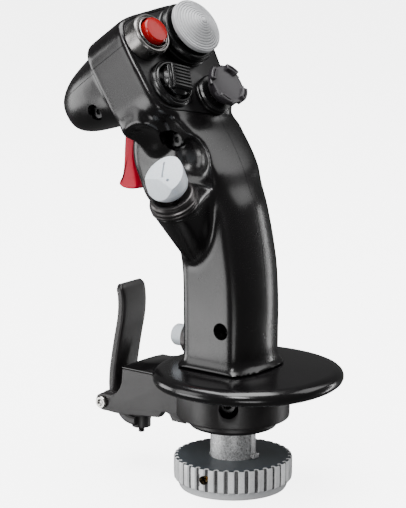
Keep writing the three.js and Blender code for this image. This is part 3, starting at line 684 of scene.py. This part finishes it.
def grip_forms(thin=0.0):
    rows = spline_rows(SHAFT_ROWS, 110)
    nose = spline_rows(NOSE_ROWS if not thin else NOSE_ROWS[:-1], 40)
    cheek = spline_rows(CHEEK_ROWS if not thin else CHEEK_ROWS[1:-1], 24)
    return [loft("form_shaft", [shaft_ring(r, thin) for r in rows]), slab("form_slab", thin),
        loft("form_nose", [nose_ring(r, thin) for r in nose], FACE_FRAME),
        loft("form_cheek", [nose_ring(r, thin) for r in cheek], FACE_FRAME), post("form_post", thin)]


def blended(name, forms, scoop, voxel=0.8, reach=7.0):
    """One skin over the forms, with a fillet wherever two of them meet."""
    trees = []
    for f in forms + [scoop]:
        bm = bmesh.new()
        bm.from_mesh(f.data)
        trees.append(BVHTree.FromBMesh(bm))
        bm.free()
    body = join(name, *forms)
    run_modifier(body, "REMESH", mode="VOXEL", voxel_size=voxel * MM)
    cut(body, scoop)
    run_modifier(body, "REMESH", mode="VOXEL", voxel_size=voxel * MM)
    group = body.vertex_groups.new(name="near")
    for v in body.data.vertices:
        hits = (tree.find_nearest(v.co, reach * 0.0012) for tree in trees)
        near = sorted(hit[3] if hit[3] is not None else 1.0 for hit in hits)
        weight = 1.0 - near[1] / (reach * MM)
        group.add([v.index], max(0.0, min(1.0, weight)) if near[1] < 1.0 else 0.0, "REPLACE")
    body = run_modifier(body, "SMOOTH", factor=0.5, iterations=14)
    body = run_modifier(body, "SMOOTH", factor=0.5, iterations=30, vertex_group="near")
    body.vertex_groups.clear()
    return body


# Each case screw: where its axis leaves the left side, head sink, inner end, well radius
CASE_SCREWS = [((-19, -6.8, 78.8), 9, 10, 4), ((-31, 59, 174.6), 8, 5, 3.9), ((-26, 17, 165), 8, 9, 5)]


def face_at(u, e):
    return FACE_FRAME @ at(u, e, 0)


def left_frame(p):
    return frame_of(p, (-1, 0, 0), Y_AXIS)


WALL, SEAM_HALF, FAR = 2.8, 0.13, 300
# How far the trigger's slot runs back and up from the pivot; the deeper steps clear the pulled tip.
TRIGGER_ROOM = ((8, 7), (10.4, -25), (8.8, -20))


def grip():
    skin = blended("grip_skin", grip_forms(), scoops())
    hollow = join("hollow", *grip_forms(WALL))
    run_modifier(hollow, "REMESH", mode="VOXEL", voxel_size=0.0014)
    cut(hollow, scoops(WALL))
    for p, sink, far, well in CASE_SCREWS:
        cut(hollow, bar("boss", well + 1.6, -(far - p[0]), -1.0, left_frame(p)))
    cut(skin, hollow)
    px, py, pz = TRIGGER_AT
    tools = [prism("seat", inset(FACE_LOOP, 2.0), -2.3, 4, FACE_FRAME),
        prism("opening", inset(FACE_LOOP, 5.4), -8, 1, FACE_FRAME),
        *[block("slot", px - 7.4, px + 7.4, py - back, py + 10, pz - 34, pz + top)
            for back, top in TRIGGER_ROOM],
        block("sensor", px - 5.3, px + 5.3, py - 21.3, py - 7, pz - 6.3, pz + 6.3),
        bar("axle", 1.6, -17, 17, frame_of(TRIGGER_AT, X_AXIS)),
        bar("front", 6.4, -14, 8, FRONT_FRAME), bar("front_seat", 9, 0.1, 8, FRONT_FRAME),
        bar("floor_hole", 11, 50, 62), bar("post_bore", 6.2, -12, 4, SIDE_FRAME)]
    tools += [bar("barrel", hole, -depth, 0, face_at(u, e)) for u, e, hole, depth in STATIONS.values()]
    for p, sink, far, well in CASE_SCREWS:
        tools.append(bar("screw_well", well, -sink, 12, left_frame(p)))
        tools.append(bar("screw_bore", 1.9, -(far - p[0]) + 3, 1, left_frame(p)))
    cut(skin, *tools)

    def part_of(name, *box, frame=None):
        return boolean(clone(skin, name), "INTERSECT", block("keep", *box, -FAR, FAR, frame))

    cover = part_of("head_cover_skin", -FAR, FAR, COVER_SEAM + SEAM_HALF, FAR, frame=FACE_FRAME)
    cut(skin, block("above", -FAR, FAR, COVER_SEAM - SEAM_HALF, FAR, -FAR, FAR, FACE_FRAME))
    left = part_of("left_shell_skin", -FAR, -SEAM_HALF, -FAR, FAR)
    right = part_of("right_shell_skin", SEAM_HALF, FAR, -FAR, FAR)
    bpy.data.objects.remove(skin)
    for obj, node in ((left, "left_shell"), (right, "right_shell"), (cover, "head_cover")):
        finish(biggest(obj), "shell", node, angle=42)


def case_screws():
    for i, (p, sink, far, well) in enumerate(CASE_SCREWS):
        length = far - p[0]
        screw = lathe(f"case_screw_{i + 1}_detail", [(0, -length + 4), (1.2, -length + 4),
            (1.6, -length + 5), (1.6, -sink + 0.3), (3.5, -sink + 0.3), (3.5, -sink + 1.8),
            (2.9, -sink + 2.4), (0, -sink + 2.4)], left_frame(p), 48, 0.2)
        cut(screw, hexagon("hex", left_frame(p), 1.6, -sink + 1, -sink + 4))
        finish(screw, "black", f"case_screw_{i + 1}")


# ---- head: panel and switches
PANEL_GAP = 2.35


def panel():
    edge = [(PANEL_GAP + 0.5, 0), (PANEL_GAP + 0.15, -0.15), (PANEL_GAP, -0.5)]
    rings = [lift(inset(FACE_LOOP, d), w) for d, w in edge + [(PANEL_GAP, -2)]]
    plate = loft("face_panel_plate", rings, FACE_FRAME)
    for u, e, hole, depth in STATIONS.values():
        cut(plate, bar("hole", hole, -4, 2, face_at(u, e)))
    finish(plate, "panel", "face_panel")


def cross(name, z, m, body, node):
    """The small cross that a hat tilts on."""
    long, short = 2.6, 0.8
    obj = block(name + "0", -long, long, -short, short, z - 0.8, z + 0.8, m)
    fuse(obj, block(name + "1", -short, short, -long, long, z - 0.8, z + 0.8, m))
    bevel(obj, 0.2, 2)
    finish(obj, "steel", node, body)


def socket(name, m, r, floor, top, neck, node):
    """A switch body: a drum below its ring with a post that carries the cross."""
    profile = [(0, floor), (r, floor), (r, top), (2.2, top), (2.2, neck), (0, neck)]
    finish(lathe(name, profile, m, 48), "black", node)


def fire():
    m = face_at(*STATIONS["fire"][:2])
    finish(lathe("fire_bezel_ring", [(4.2, 0.3), (10, 0.3), (10, 7.3), (9.4, 8.2), (8.8, 8.3), (8.5, 7.3),
        (8.0, 7.3), (7.85, 8.5), (7.5, 8.9), (7.15, 8.6), (7.0, 1.5), (4.2, 1.5), (4.2, 0.3)], m, 128,
        0.22), "gunmetal", "fire_bezel")
    finish(lathe("fire_barrel", [(0, -14), (5, -14), (5, -11), (7, -11), (7, -8), (6.6, -7.7), (6.6, -7.2),
        (7, -6.9), (7, -0.2), (3.8, -0.2), (3.8, 0.9), (2.6, 0.9), (2.6, -10.4), (0, -10.4)], m, 72),
        "black", "fire_switch_body")
    finish(lathe("fire_cap", [(0, -7.6), (2.2, -7.6), (2.2, 4.4), (6.35, 4.4), (6.35, 10.6), (5.6, 11.25),
        (3.6, 11.45), (1.4, 11.5), (0, 11.5)], m, 128, 0.6, 5), "red", "fire_button", "fire_button",
        angle=60)


def trim():
    m = face_at(*STATIONS["trim"][:2])
    finish(lathe("trim_ring", [(9.9, -9), (9.9, 0.3), (15, 0.3), (15, 2.6), (14.4, 3.0), (14.4, 3.6),
        (15, 4.0), (15, 5.8), (14.2, 7.3), (13.4, 7.6), (11.6, 7.6), (9.6, 4.4), (9.6, 3), (4, 3), (4, 1.4),
        (8.4, 0.2), (8.4, -9), (9.9, -9)], m, 144, 0.3), "black", "trim_hat_ring")
    socket("trim_socket", m, 8, -13, -1, 3, "trim_hat_switch_body")
    profile = [(0, 6), (2.4, 6), (2.4, 9.4), (10.6, 9.4), (12.9, 9.8), (13.3, 10.4), (13.3, 12.1)]
    r, z = 12.9, 12.5
    for k in range(11):
        step = 1.1 if k < 10 else 0.9
        rise = 0.34 + 0.30 * math.sin(math.pi * min(k, 9) / 9)
        profile += [(r, z), (r - 0.12, z - 0.42), (r - 0.36, z - 0.36), (r - 0.4, z + 0.12)]
        r, z = r - step, z + rise
    profile += [(0.7, z + 0.05), (0, z + 0.1)]
    finish(lathe("trim_hat_top", profile, m, 160, 0.12, 2), "grey", "trim_hat_cap", "trim_cap", angle=30)
    cross("trim_yoke", 4.4, m, "trim_cross", "trim_hat_cross")


def arc_block(name, r0, r1, a0, a1, z0, z1, m, steps=14):
    outline = [(r1 * math.cos(a), r1 * math.sin(a)) for a in np.linspace(a0, a1, steps)]
    outline += [(r0 * math.cos(a), r0 * math.sin(a)) for a in np.linspace(a1, a0, steps)]
    return prism(name, outline, z0, z1, m)


def castle():
    m = face_at(*STATIONS["castle"][:2])
    finish(lathe("castle_ring", [(7, 0.3), (9.6, 0.3), (9.6, 1.6), (9.2, 1.9), (9.6, 2.2), (9.6, 3.3),
        (8.8, 4.2), (4.6, 4.2), (4.6, 2.4), (7, 1.4), (7, 0.3)], m, 96, 0.25), "black",
        "castle_switch_collar")
    socket("castle_socket", m, 7.2, -12, -0.4, 2, "castle_switch_body")
    cap = lathe("castle_top", [(0, 5), (3, 5), (3, 6.2), (7.0, 6.2), (7.3, 7.4), (7.8, 9.2), (9.4, 9.9),
        (10.3, 10.4), (10.3, 11.6), (9.8, 12.1), (7.4, 11.8), (0, 11.4)], m, 112, 0.35)
    for k in range(4):
        a = math.pi / 4 + k * math.pi / 2
        lug = arc_block("lug", 7.7, 10.5, a - 0.36, a + 0.36, 10.8, 13.5, m)
        bevel(lug, 0.4, 3)
        cut(lug, arc_block("slot", 8.8, 9.5, a - 0.25, a + 0.25, 12.0, 16, m))
        gap = arc_block("gap", 9.2, 13, a + math.pi / 4 - 0.22, a + math.pi / 4 + 0.22, 9, 15, m)
        fuse(cap, lug)
        cut(cap, gap)
    bevel(cap, 0.16, 2, 50)
    finish(cap, "castle", "castle_switch_cap", "castle_cap")
    cross("castle_yoke", 3.4, m, "castle_cross", "castle_switch_cross")


def select():
    m = face_at(*STATIONS["select"][:2])
    finish(lathe("select_ring", [(8.4, 0.3), (11.5, 0.3), (11.5, 2.2), (10.9, 3.0), (10.5, 3.0),
        (10.4, 3.7), (9.7, 4.1), (9.2, 4), (8.4, 2.6), (8.4, 0.3)], m, 112, 0.25), "black",
        "select_switch_ring")
    socket("select_socket", m, 8.2, -12, -0.4, 1, "select_switch_body")
    dome = lathe("select_dome", [(0, 3.6), (3, 3.6), (3, 4.4), (7.9, 4.4), (7.7, 5.6), (6.6, 7.0),
        (4.6, 7.9), (0, 8.3)], m, 96, 0.5)
    lean = m @ frame_of((0, 0, 0), (-0.06, 0, 1), (0.917, -0.4, 0.055))
    plinth = prism("plinth", [(-6.2, -4.8), (-5.2, -6.1), (4.6, -6.1), (4.6, 6.1), (-5.2, 6.1),
        (-6.2, 4.8)], 5.4, 7.6, lean)
    bevel(plinth, 0.4, 3)
    pad = prism("pad", [(-4.7, -6), (5.3, -6), (5.3, 6), (-4.7, 6)], 6.4, 8.9, lean)
    bevel(pad, 0.45, 3)
    fuse(plinth, pad)
    for k in range(7):
        y = (k - 3) * 1.68
        rib = prism("rib", [(y - 0.56, 0), (y - 0.3, 0.95), (y + 0.3, 0.95), (y + 0.56, 0)], -4.2, 5.0,
            lean @ frame_of((0, 0, 8.8), X_AXIS, Y_AXIS))
        fuse(plinth, rib)
    fuse(dome, plinth)
    bevel(dome, 0.1, 2, 50)
    finish(dome, "black", "select_switch_cap", "select_cap")
    cross("select_yoke", 2.4, m, "select_cross", "select_switch_cross")


def side_switch():
    m = SIDE_FRAME
    finish(lathe("side_cup", [(0, -9), (5.8, -9), (5.8, 0.4), (11.4, 0.4), (11.4, 1.5), (11.0, 1.8),
        (11.4, 2.1), (11.4, 3.3), (10.7, 3.7), (10.7, 5.2), (10.0, 6.3), (9.2, 6.5), (8.3, 6.2), (7.9, 4.4),
        (5, 3.3), (2.2, 3.1), (2.2, 4.6), (0, 4.6)], m, 128, 0.28), "dark_metal", "side_switch_housing")
    knob = lathe("side_knob_top", [(0, 7.2), (6.2, 7.2), (7.0, 8.0), (8.6, 9.8), (9.3, 11.8), (9.3, 18.6),
        (8.6, 24), (0, 24)], m, 112, 0.5)
    for point, normal in (((0, 0, 19.2), (0.16, 0.26, 1)), ((0, 0, 19.2), (-0.16, 0.36, 1)),
            ((0, 3.4, 18.1), (0.12, 1.35, 1))):
        cut(knob, block("facet", -30, 30, -30, 30, 0, 24, m @ frame_of(point, normal)))
    bevel(knob, 0.3, 3, 10)
    slot = m @ frame_of((-0.6, 2.4, 18.4), (0, 0.3, 1), (0.39, -0.92, 0.28))
    cut(knob, block("slot", 0.3, 9.0, -0.42, 0.42, -3.2, 4, slot),
        bar("pin", 0.75, -3, 6, slot @ at(-1.2, -2.6, 0), segs=20),
        block("step", 7.4, 12, 1.2, 8, -0.9, 6, slot))
    finish(knob, "white", "side_switch_knob", "side_knob", angle=32)
    cross("side_yoke", 6, m, "side_cross", "side_switch_cross")


# ---- trigger and front button
def trigger():
    m = frame_of(TRIGGER_AT, X_AXIS, Y_AXIS)
    blade = smooth_loop([(-3.6, 3), (0, 4.4), (2.8, 2.6), (3.4, -4), (4.2, -14), (4.6, -21), (5.6, -27),
        (7.6, -31.4), (5, -33), (-1, -33), (-3.6, -31.6), (-3, -26), (-1.6, -18), (-2.6, -8)], 120)
    rings = []
    for d, w in ((1.6, -6.2), (0.7, -6.05), (0.2, -5.5), (0, -4.6), (-0.35, 0), (0, 4.6), (0.2, 5.5),
            (0.7, 6.05), (1.6, 6.2)):
        rings.append(lift(inset(blade, d), w))
    body = loft("trigger_blade", rings, m)
    for k in range(5):
        cut(body, bar("groove", 0.45, -7, 7, m @ at(6.1 - 0.12 * k, -8 - 2.6 * k, 0), segs=20))
    cut(body, bar("bore", 1.65, -9, 9, m, segs=32))
    finish(body, "pink", "trigger", "trigger")
    finish(lathe("axle_pin", [(0, -14), (1.1, -14), (1.4, -13.7), (1.4, 13.7), (1.1, 14), (0, 14)], m, 40,
        0.1), "steel", "trigger_axle")
    px, py, pz = TRIGGER_AT
    case = bevel(block("trigger_case", px - 5, px + 5, py - 21, py - 12, pz - 6, pz + 6), 0.5)
    for side in (-1, 1):
        cut(case, bar("eye", 1.1, -9, 9, frame_of((px, py - 16.5, pz + 3.6 * side), X_AXIS), segs=24))
    finish(case, "black", "trigger_microswitch")
    finish(bevel(block("trigger_push", px - 1.5, px + 1.5, py - 11.7, py - 9.4, pz - 1.6, pz + 1.6), 0.4),
        "steel", "trigger_plunger")


def front_button():
    m = FRONT_FRAME
    ring = lathe("front_ring", [(3.4, 0.5), (8.4, 0.5), (8.4, 4.0), (7.6, 4.8), (5.6, 4.8), (5.6, 1.9),
        (3.4, 1.9), (3.4, 0.5)], m, 120, 0.3)
    for k in range(30):
        a = TURN * k / 30
        cut(ring, bar("flute", 0.42, 1.2, 9, m @ at(8.65 * math.cos(a), 8.65 * math.sin(a), 0), segs=10))
    finish(ring, "dark_metal", "front_button_bezel")
    finish(lathe("front_barrel", [(0, -9), (4, -9), (4, -7.5), (6, -7.5), (6, 0.2), (3, 0.2), (3, 1.4),
        (2, 1.4), (2, -6), (0, -6)], m, 48), "black", "front_button_body")
    finish(lathe("front_cap", [(0, -3.4), (1.7, -3.4), (1.7, 3.8), (5.2, 3.8), (5.2, 11.8), (4.7, 12.6),
        (3.4, 13.0), (0, 13.0)], m, 72, 0.4), "white", "front_button_cap", "front_button", angle=60)


# ---- hand rest and base
REST_CY, REST_RX, REST_RY, REST_FRONT = -7, 44, 45, 41
# The tongue on the bracket: distance forward, height of its crown
TONGUE_ROWS = [(20, 6.6), (30, 6.2), (38, 4.6), (46, 2.8), (52, 1.6), (54.0, 1.0), (54.4, 0.5)]


def rest_ring(d, z):
    return superellipse(0, REST_CY, REST_RX - d, REST_FRONT - d, 0.92, z, 160, REST_RY - d)


def hand_rest():
    rows = [(6.0, 51.0), (3.6, 51.05), (2.0, 51.5), (0.8, 52.5), (0.15, 53.9), (0.1, 55.2), (0.6, 56.5),
        (1.7, 57.6), (3.2, 58.3), (5.4, 58.5)]
    disc = loft("rest_disc", [rest_ring(d, z) for d, z in rows])
    half, across, rings = 15.4, np.linspace(-1, 1, 25), []
    for y, crown in spline_rows(TONGUE_ROWS, 26):
        arch = [(half * x, y, 51 + (1 - abs(x) ** 2.6) * (crown - 0.3) + 0.3) for x in across]
        rings.append([(-half, y, 51), *arch, (half, y, 51)])
    fuse(disc, loft("rest_tongue", rings))
    cut(disc, bar("bore", 11, 48, 62, segs=96))
    finish(disc, "rest", "hand_rest", angle=30)


LEVER_PIN = (0, 67, 32)
CHEEK_PLATE = [(8, 30), (24.6, 30), (25.2, 31.4), (26.4, 33), (28.4, 33.6), (30.4, 33), (31.6, 31.4),
    (32.6, 30.2), (44, 29), (54, 27.8), (60, 27.7), (64.5, 27.9), (67, 27.8), (69.6, 28.7), (71.1, 30.8),
    (71.3, 32.6), (70.4, 34.8), (68.4, 36), (66, 36.2), (62.5, 36.2), (60, 36.8), (58, 38.2), (56.2, 40.6),
    (55, 43.6), (54.4, 50.6), (8, 50.6)]


def base_casting():
    collar = lathe("collar", [(14, 34), (25.6, 34), (26.3, 34.4), (26.5, 35.2), (26.5, 50.1), (26, 50.6),
        (14, 50.6), (14, 34)], None, 160, 0.4)
    side = frame_of((0, 0, 0), X_AXIS, Y_AXIS)
    for s in (-1, 1):
        a, b = sorted((s * 11.4, s * 15.4))
        fuse(collar, bevel(prism("cheek", CHEEK_PLATE, a, b, side), 0.45, 3, 60))
    fuse(collar, block("web", -12, 12, 22, 46, 46.6, 50.6))
    tools = [bar("keep", 14, 20, 60, segs=96), bar("lower", 22, 20, 34, segs=96),
        bar("pin_hole", 2.3, -20, 20, frame_of(LEVER_PIN, X_AXIS), segs=48),
        bar("access", 4.6, 10, 30, frame_of((0, 0, 44.2), (-0.85, -0.53, 0), Z_AXIS), segs=64)]
    cut(collar, *tools)
    bevel(collar, 0.25, 2, 50)
    finish(collar, "casting", "base_casting", angle=30)
    m = frame_of((0, 0, 44.4), (-0.87, -0.49, 0), Z_AXIS)
    screw = lathe("collar_screw", [(0, 15), (4.2, 15), (4.2, 20.4), (3.6, 21), (0, 21)], m, 48, 0.2)
    cut(screw, hexagon("hex", m, 2.2, 18, 23))
    finish(screw, "black", "collar_set_screw")
    finish(lathe("neck", [(7.5, 29.3), (18.6, 29.3), (20.2, 29.9), (21, 31.2), (21, 33.7), (7.5, 33.7),
        (7.5, 29.3)], None, 144, 0.5), "casting", "neck_ring")


ADJUSTER = at(0, 55.4, 0)
LEVER_LINE = [(54.6, 22.2), (58, 22.3), (62, 24.1), (65.8, 29.4), (66.8, 38), (66.4, 46), (64.9, 55),
    (63.1, 64), (61.4, 72), (60.7, 79), (61.1, 85), (62.5, 89.4)]


def lever():
    line = spline_rows(LEVER_LINE, 90)
    rings = []
    for i, p in enumerate(line):
        a, b = line[max(i - 1, 0)], line[min(i + 1, len(line) - 1)]
        d = (b - a) / np.linalg.norm(b - a)
        n = np.array((d[1], -d[0]))
        blend = min(1.0, max(0.0, (p[1] - 27) / 6))
        h, t = 6.6 + (9 - 6.6) * blend, 2.2
        end = len(line) - 1 - i
        if end < 5:
            h -= 0.25 * (5 - end) ** 1.3
            t -= 0.12 * (5 - end)
        ring = []
        for k in range(40):
            q = TURN * k / 40
            c, s = math.cos(q), math.sin(q)
            x = h * math.copysign(abs(c) ** 0.22, c)
            w = t * math.copysign(abs(s) ** 0.5, s)
            ring.append((x, p[0] + n[0] * w, p[1] + n[1] * w))
        rings.append(ring)
    body = loft("lever_body", rings)
    hinge = frame_of(LEVER_PIN, X_AXIS)
    fuse(body, lathe("barrel", [(0, -10.6), (4.6, -10.6), (4.6, 10.6), (0, 10.6)], hinge, 64, 0.4))
    fuse(body, lathe("pad", [(0, 18.4), (4.6, 18.4), (4.6, 24.8), (0, 24.8)], ADJUSTER, 64, 0.4))
    cut(body, bar("bore", 2.35, -12, 12, hinge, segs=48), bar("screw_hole", 1.9, 10, 31, ADJUSTER, segs=40))
    bevel(body, 0.25, 2, 50)
    finish(body, "casting", "paddle_lever", "paddle", angle=32)
    m = frame_of(LEVER_PIN, (-1, 0, 0))
    finish(lathe("hinge_pin", [(0, -17.6), (1.6, -17.6), (2, -17.2), (2, 15.7), (3.0, 15.7), (3.0, 16.7),
        (2.6, 17.3), (1.7, 17.3), (1.4, 16.7), (0.8, 16.4), (0, 16.3)], m, 64, 0.2), "steel",
        "paddle_hinge_pin")


def lever_fittings():
    m = ADJUSTER
    profile = [(0, 15.6), (1.2, 15.6)]
    z = 16
    while z < 29.6:
        profile += [(1.6, z), (1.28, z + 0.35)]
        z += 0.7
    profile += [(1.5, 30.3), (0, 30.3)]
    screw = lathe("adjust_screw", profile, m, 36, 0.02, 1)
    cut(screw, hexagon("hex", m, 0.8, 14, 17))
    finish(screw, "dark_metal", "lever_adjust_screw", "paddle")
    nut = cut(hexagon("lock_nut", m, 3.2, 27.2, 29.6), bar("thread", 1.9, 20, 31, m, segs=32))
    bevel(nut, 0.2, 2)
    finish(nut, "black", "lever_lock_nut", "paddle")
    case = bevel(block("lever_case", -6, 6, 46.4, 58.4, 33.8, 42), 0.5)
    for y in (49, 55.8):
        cut(case, bar("eye", 1.2, -9, 9, frame_of((0, y, 38.6), X_AXIS), segs=24))
    cut(case, block("parting", -9, 9, 40, 60, 36.2, 36.5))
    finish(biggest(case), "black", "lever_microswitch")
    finish(bevel(block("lever_push", -1.5, 1.5, 53.9, 56.9, 31.2, 33.5), 0.35), "brass", "lever_plunger")


def plug():
    tube = lathe("tube", [(7.5, 11.2), (7.5, 29), (10.3, 29), (10.7, 28.6), (10.7, 11.3), (18.9, 11.3),
        (18.9, 0.8), (18.5, 0.4), (15.9, 0.4), (15.5, 0.8), (15.5, 11.2), (7.5, 11.2)], None, 144, 0.3)
    key = frame_of((0, 0, 0), (0, 0, 1), (-0.12, -0.993, 0))
    cut(tube, block("groove", 10.3, 12, -1.1, 1.1, 16, 27.6, key))
    finish(tube, "silver", "connector_tube")
    core = lathe("core", [(0, 0), (14.5, 0), (14.9, 0.4), (14.9, 10.9), (0, 10.9)], None, 112, 0.2)
    for i in range(5):
        a = (i + 0.5) * TURN / 5
        spot = at(9 * math.cos(a), 9 * math.sin(a), 0)
        cut(core, lathe("socket", [(0, 7.4), (2.6, 7.4), (2.6, 0.3), (3.0, -0.1), (3.0, -1), (0, -1)], spot,
            36, 0.01, 1))
        pin = lathe(f"contact_{i + 1}", [(0, 0.6), (0.7, 0.6), (1.25, 1.2), (1.3, 2), (1.5, 7.1), (0, 7.1)],
            spot, 32, 0.1)
        finish(pin, "brass", f"contact_pin_{i + 1}")
    finish(core, "black", "connector_insulator")
    peg = prism("peg", [(-2.0, -13.6), (2.2, -13.6), (0.6, -11), (-1.6, -11)], 15.3, 17.4)
    bevel(peg, 0.25, 2)
    finish(peg, "silver", "key_peg")


def ring_nut():
    ribs, verts, faces = 36, [], []
    segs = ribs * 12
    rows = [(19.3, 0.3, 0), (24.4, 0, 0), (24.9, 0.1, 0), (25.3, 0.7, 0), (25.6, 1.6, 0), (26.4, 3.2, 0),
        (26.9, 3.9, 0.15), (27.0, 4.6, 0.85), (27.05, 6.5, 1), (27.05, 12.4, 1), (27.0, 14.0, 1),
        (26.8, 14.7, 0.9), (26.2, 15.0, 0.5), (25.4, 15.0, 0), (11.3, 15.0, 0), (11.1, 14.8, 0),
        (11.1, 11.6, 0), (19.3, 11.6, 0)]
    for r, z, rib in rows:
        for k in range(segs):
            a = TURN * k / segs
            phase = (k % 12) / 12
            bump = min(1.0, max(0.0, (0.5 - abs(phase - 0.5)) / 0.5 * 3.4 - 0.62))
            rr = r + rib * (bump * 1.5 - 0.65)
            verts.append((rr * math.cos(a), rr * math.sin(a), z))
    count = len(rows)
    for i in range(count):
        j = (i + 1) % count
        for k in range(segs):
            n = (k + 1) % segs
            faces.append((i * segs + k, i * segs + n, j * segs + n, j * segs + k))
    nut = mesh_object("nut_body", verts, faces)
    m = frame_of((0, 0, 9.6), (-0.991, -0.131, 0), Z_AXIS)
    cut(nut, bar("bore", 2.2, 18, 32, m, segs=48))
    finish(nut, "nut", "ring_nut", "ring_nut", angle=34)
    # Extra slots: painted shade for the top face, the rib grooves and the grub screw's bore, and the pale
    # lip.
    for extra in ("nut_top", "nut_groove", "nut_lip", "dark_metal"):
        nut.data.materials.append(MAT[extra])
    inward = np.linalg.inv(m)
    for p in nut.data.polygons:
        c = p.center * 1000
        r = math.hypot(c.x, c.y)
        local = inward @ np.array((c.x, c.y, c.z, 1))
        # Painted shade: upward faces on the nut's top take the dark top finish.
        if p.normal.z > 0.9 and c.z > 14.8:
            p.material_index = 1
        # Painted shade: the walls of the grub screw's bore take the dark metal finish.
        elif local[2] > 19 and math.hypot(local[0], local[1]) < 2.3:
            p.material_index = 4
        # Painted shade: the low faces between the ribs take the dark groove finish.
        elif 4.2 < c.z < 14.7 and 26 < r < 26.85:
            p.material_index = 2
        elif c.z < 4.2 and r > 24:
            p.material_index = 3
    grub = lathe("grub", [(0, 20.4), (1.9, 20.4), (1.9, 24.1), (1.6, 24.4), (0, 24.4)], m, 36, 0.1)
    cut(grub, hexagon("hex", m, 0.95, 22.6, 28))
    finish(grub, "brass", "nut_grub_screw", "ring_nut")


def innards():
    board = bevel(block("board", -13, 13, 3, 4.6, 66, 118), 0.15, 1)
    for x in (-10.5, 10.5):
        for z in (68.5, 115.5):
            cut(board, bar("fixing", 1.4, -9, 9, frame_of((x, 4, z), Y_AXIS), segs=24))
    finish(board, "board", "circuit_board")
    chips = [block(f"chip{k}", x, x + w, 4.62, 4.62 + h, z, z + l) for k,
        (x, z, w, l, h) in enumerate(((-6, 96, 8, 10, 1.6), (4.5, 98, 5, 4, 1.2), (4.5, 104, 5, 4, 1.2),
        (-9, 84, 4, 6, 1.4), (1, 84, 9, 5, 1.8), (-5, 110, 10, 4, 1.4)))]
    group = join("chips", *[bevel(c, 0.15, 1) for c in chips])
    finish(group, "black")
    socket = bevel(block("board_socket", -8, 8, 5, 11, 70, 78), 0.4)
    for k in range(6):
        cut(socket, block("way", -6.6 + k * 2.3, -5.4 + k * 2.3, 9, 12, 73.4, 74.8))
    finish(socket, "black", "board_connector")


# ---- scene
def stage():
    bm = bmesh.new()
    bmesh.ops.create_circle(bm, cap_ends=True, segments=96, radius=8)
    floor = from_bmesh("floor", bm)
    floor.location.z = -0.0002
    floor.visible_glossy = False
    floor.visible_diffuse = False
    floor.visible_shadow = False
    floor.data.materials.append(MAT["floor"])


def area(name, at_, size, radiance, size_y=None, target=None):
    """A soft box of the given brightness; it points level at the axis unless it has a target."""
    data = bpy.data.lights.new(name, "AREA")
    data.energy = radiance * math.pi * size * (size_y or size)
    data.size = size
    if size_y:
        data.shape = "RECTANGLE"
        data.size_y = size_y
    light = placed(name, data)
    light.location = at_
    direction = Vector(target or (0, 0, at_[2])) - Vector(at_)
    light.rotation_euler = direction.to_track_quat("-Z", "Y").to_euler()
    light.visible_camera = False


WORLD_LIT, WORLD_SEEN = 0.12, 1.0


def lights():
    """Soft boxes round the object, under a pale world that is bright only to the camera."""
    world = bpy.data.worlds.new("studio")
    bpy.context.scene.world = world
    t = Tree(world)
    lit, seen = (t.add("Background", {"Color": rgba(1),
        "Strength": strength}).outputs[0] for strength in (WORLD_LIT, WORLD_SEEN))
    ray = t.add("LightPath").outputs["Is Camera Ray"]
    mix = t.add("MixShader", {0: ray, 1: lit, 2: seen})
    t.add("OutputWorld", {"Surface": mix.outputs[0]})
    centre = (0, 0.01, 0.12)
    area("top", (-0.15, 0.1, 1.5), 1.3, 9, target=centre)
    area("flank_low", (-0.95, 0.73, -0.39), 0.55, 5.5, 0.5)
    area("flank_high", (-0.95, 0.73, 0.33), 0.5, 3.2, 0.8)
    area("rear_box", (0.75, -0.75, 0.85), 0.75, 2.4, target=centre)
    area("near_low", (-0.79, -0.61, -0.39), 0.5, 4, 0.42)
    area("rear_line", (1.05, -0.51, -0.18), 0.07, 14, 0.85)
    area("key", (-0.9, -0.35, 0.9), 0.4, 16, target=centre)
    area("front_low", (-0.35, 1.0, 0.05), 0.5, 5, target=centre)


def default_looks():
    """Every CAD node that stays visible gets the finish of its own material slot."""
    for sub in frame["record"]["subparts"]:
        obj = NODES[sub["node"]]
        obj.data.materials.clear()
        obj.data.materials.append(MAT[LOOK_OF_SLOT[sub["material_slot"]]])


for build in (camera, default_looks, grip, case_screws, panel, fire, trim, castle, select, side_switch,
        trigger, front_button, hand_rest, base_casting, lever, lever_fittings, plug, ring_nut, innards,
        stage, lights):
    build()
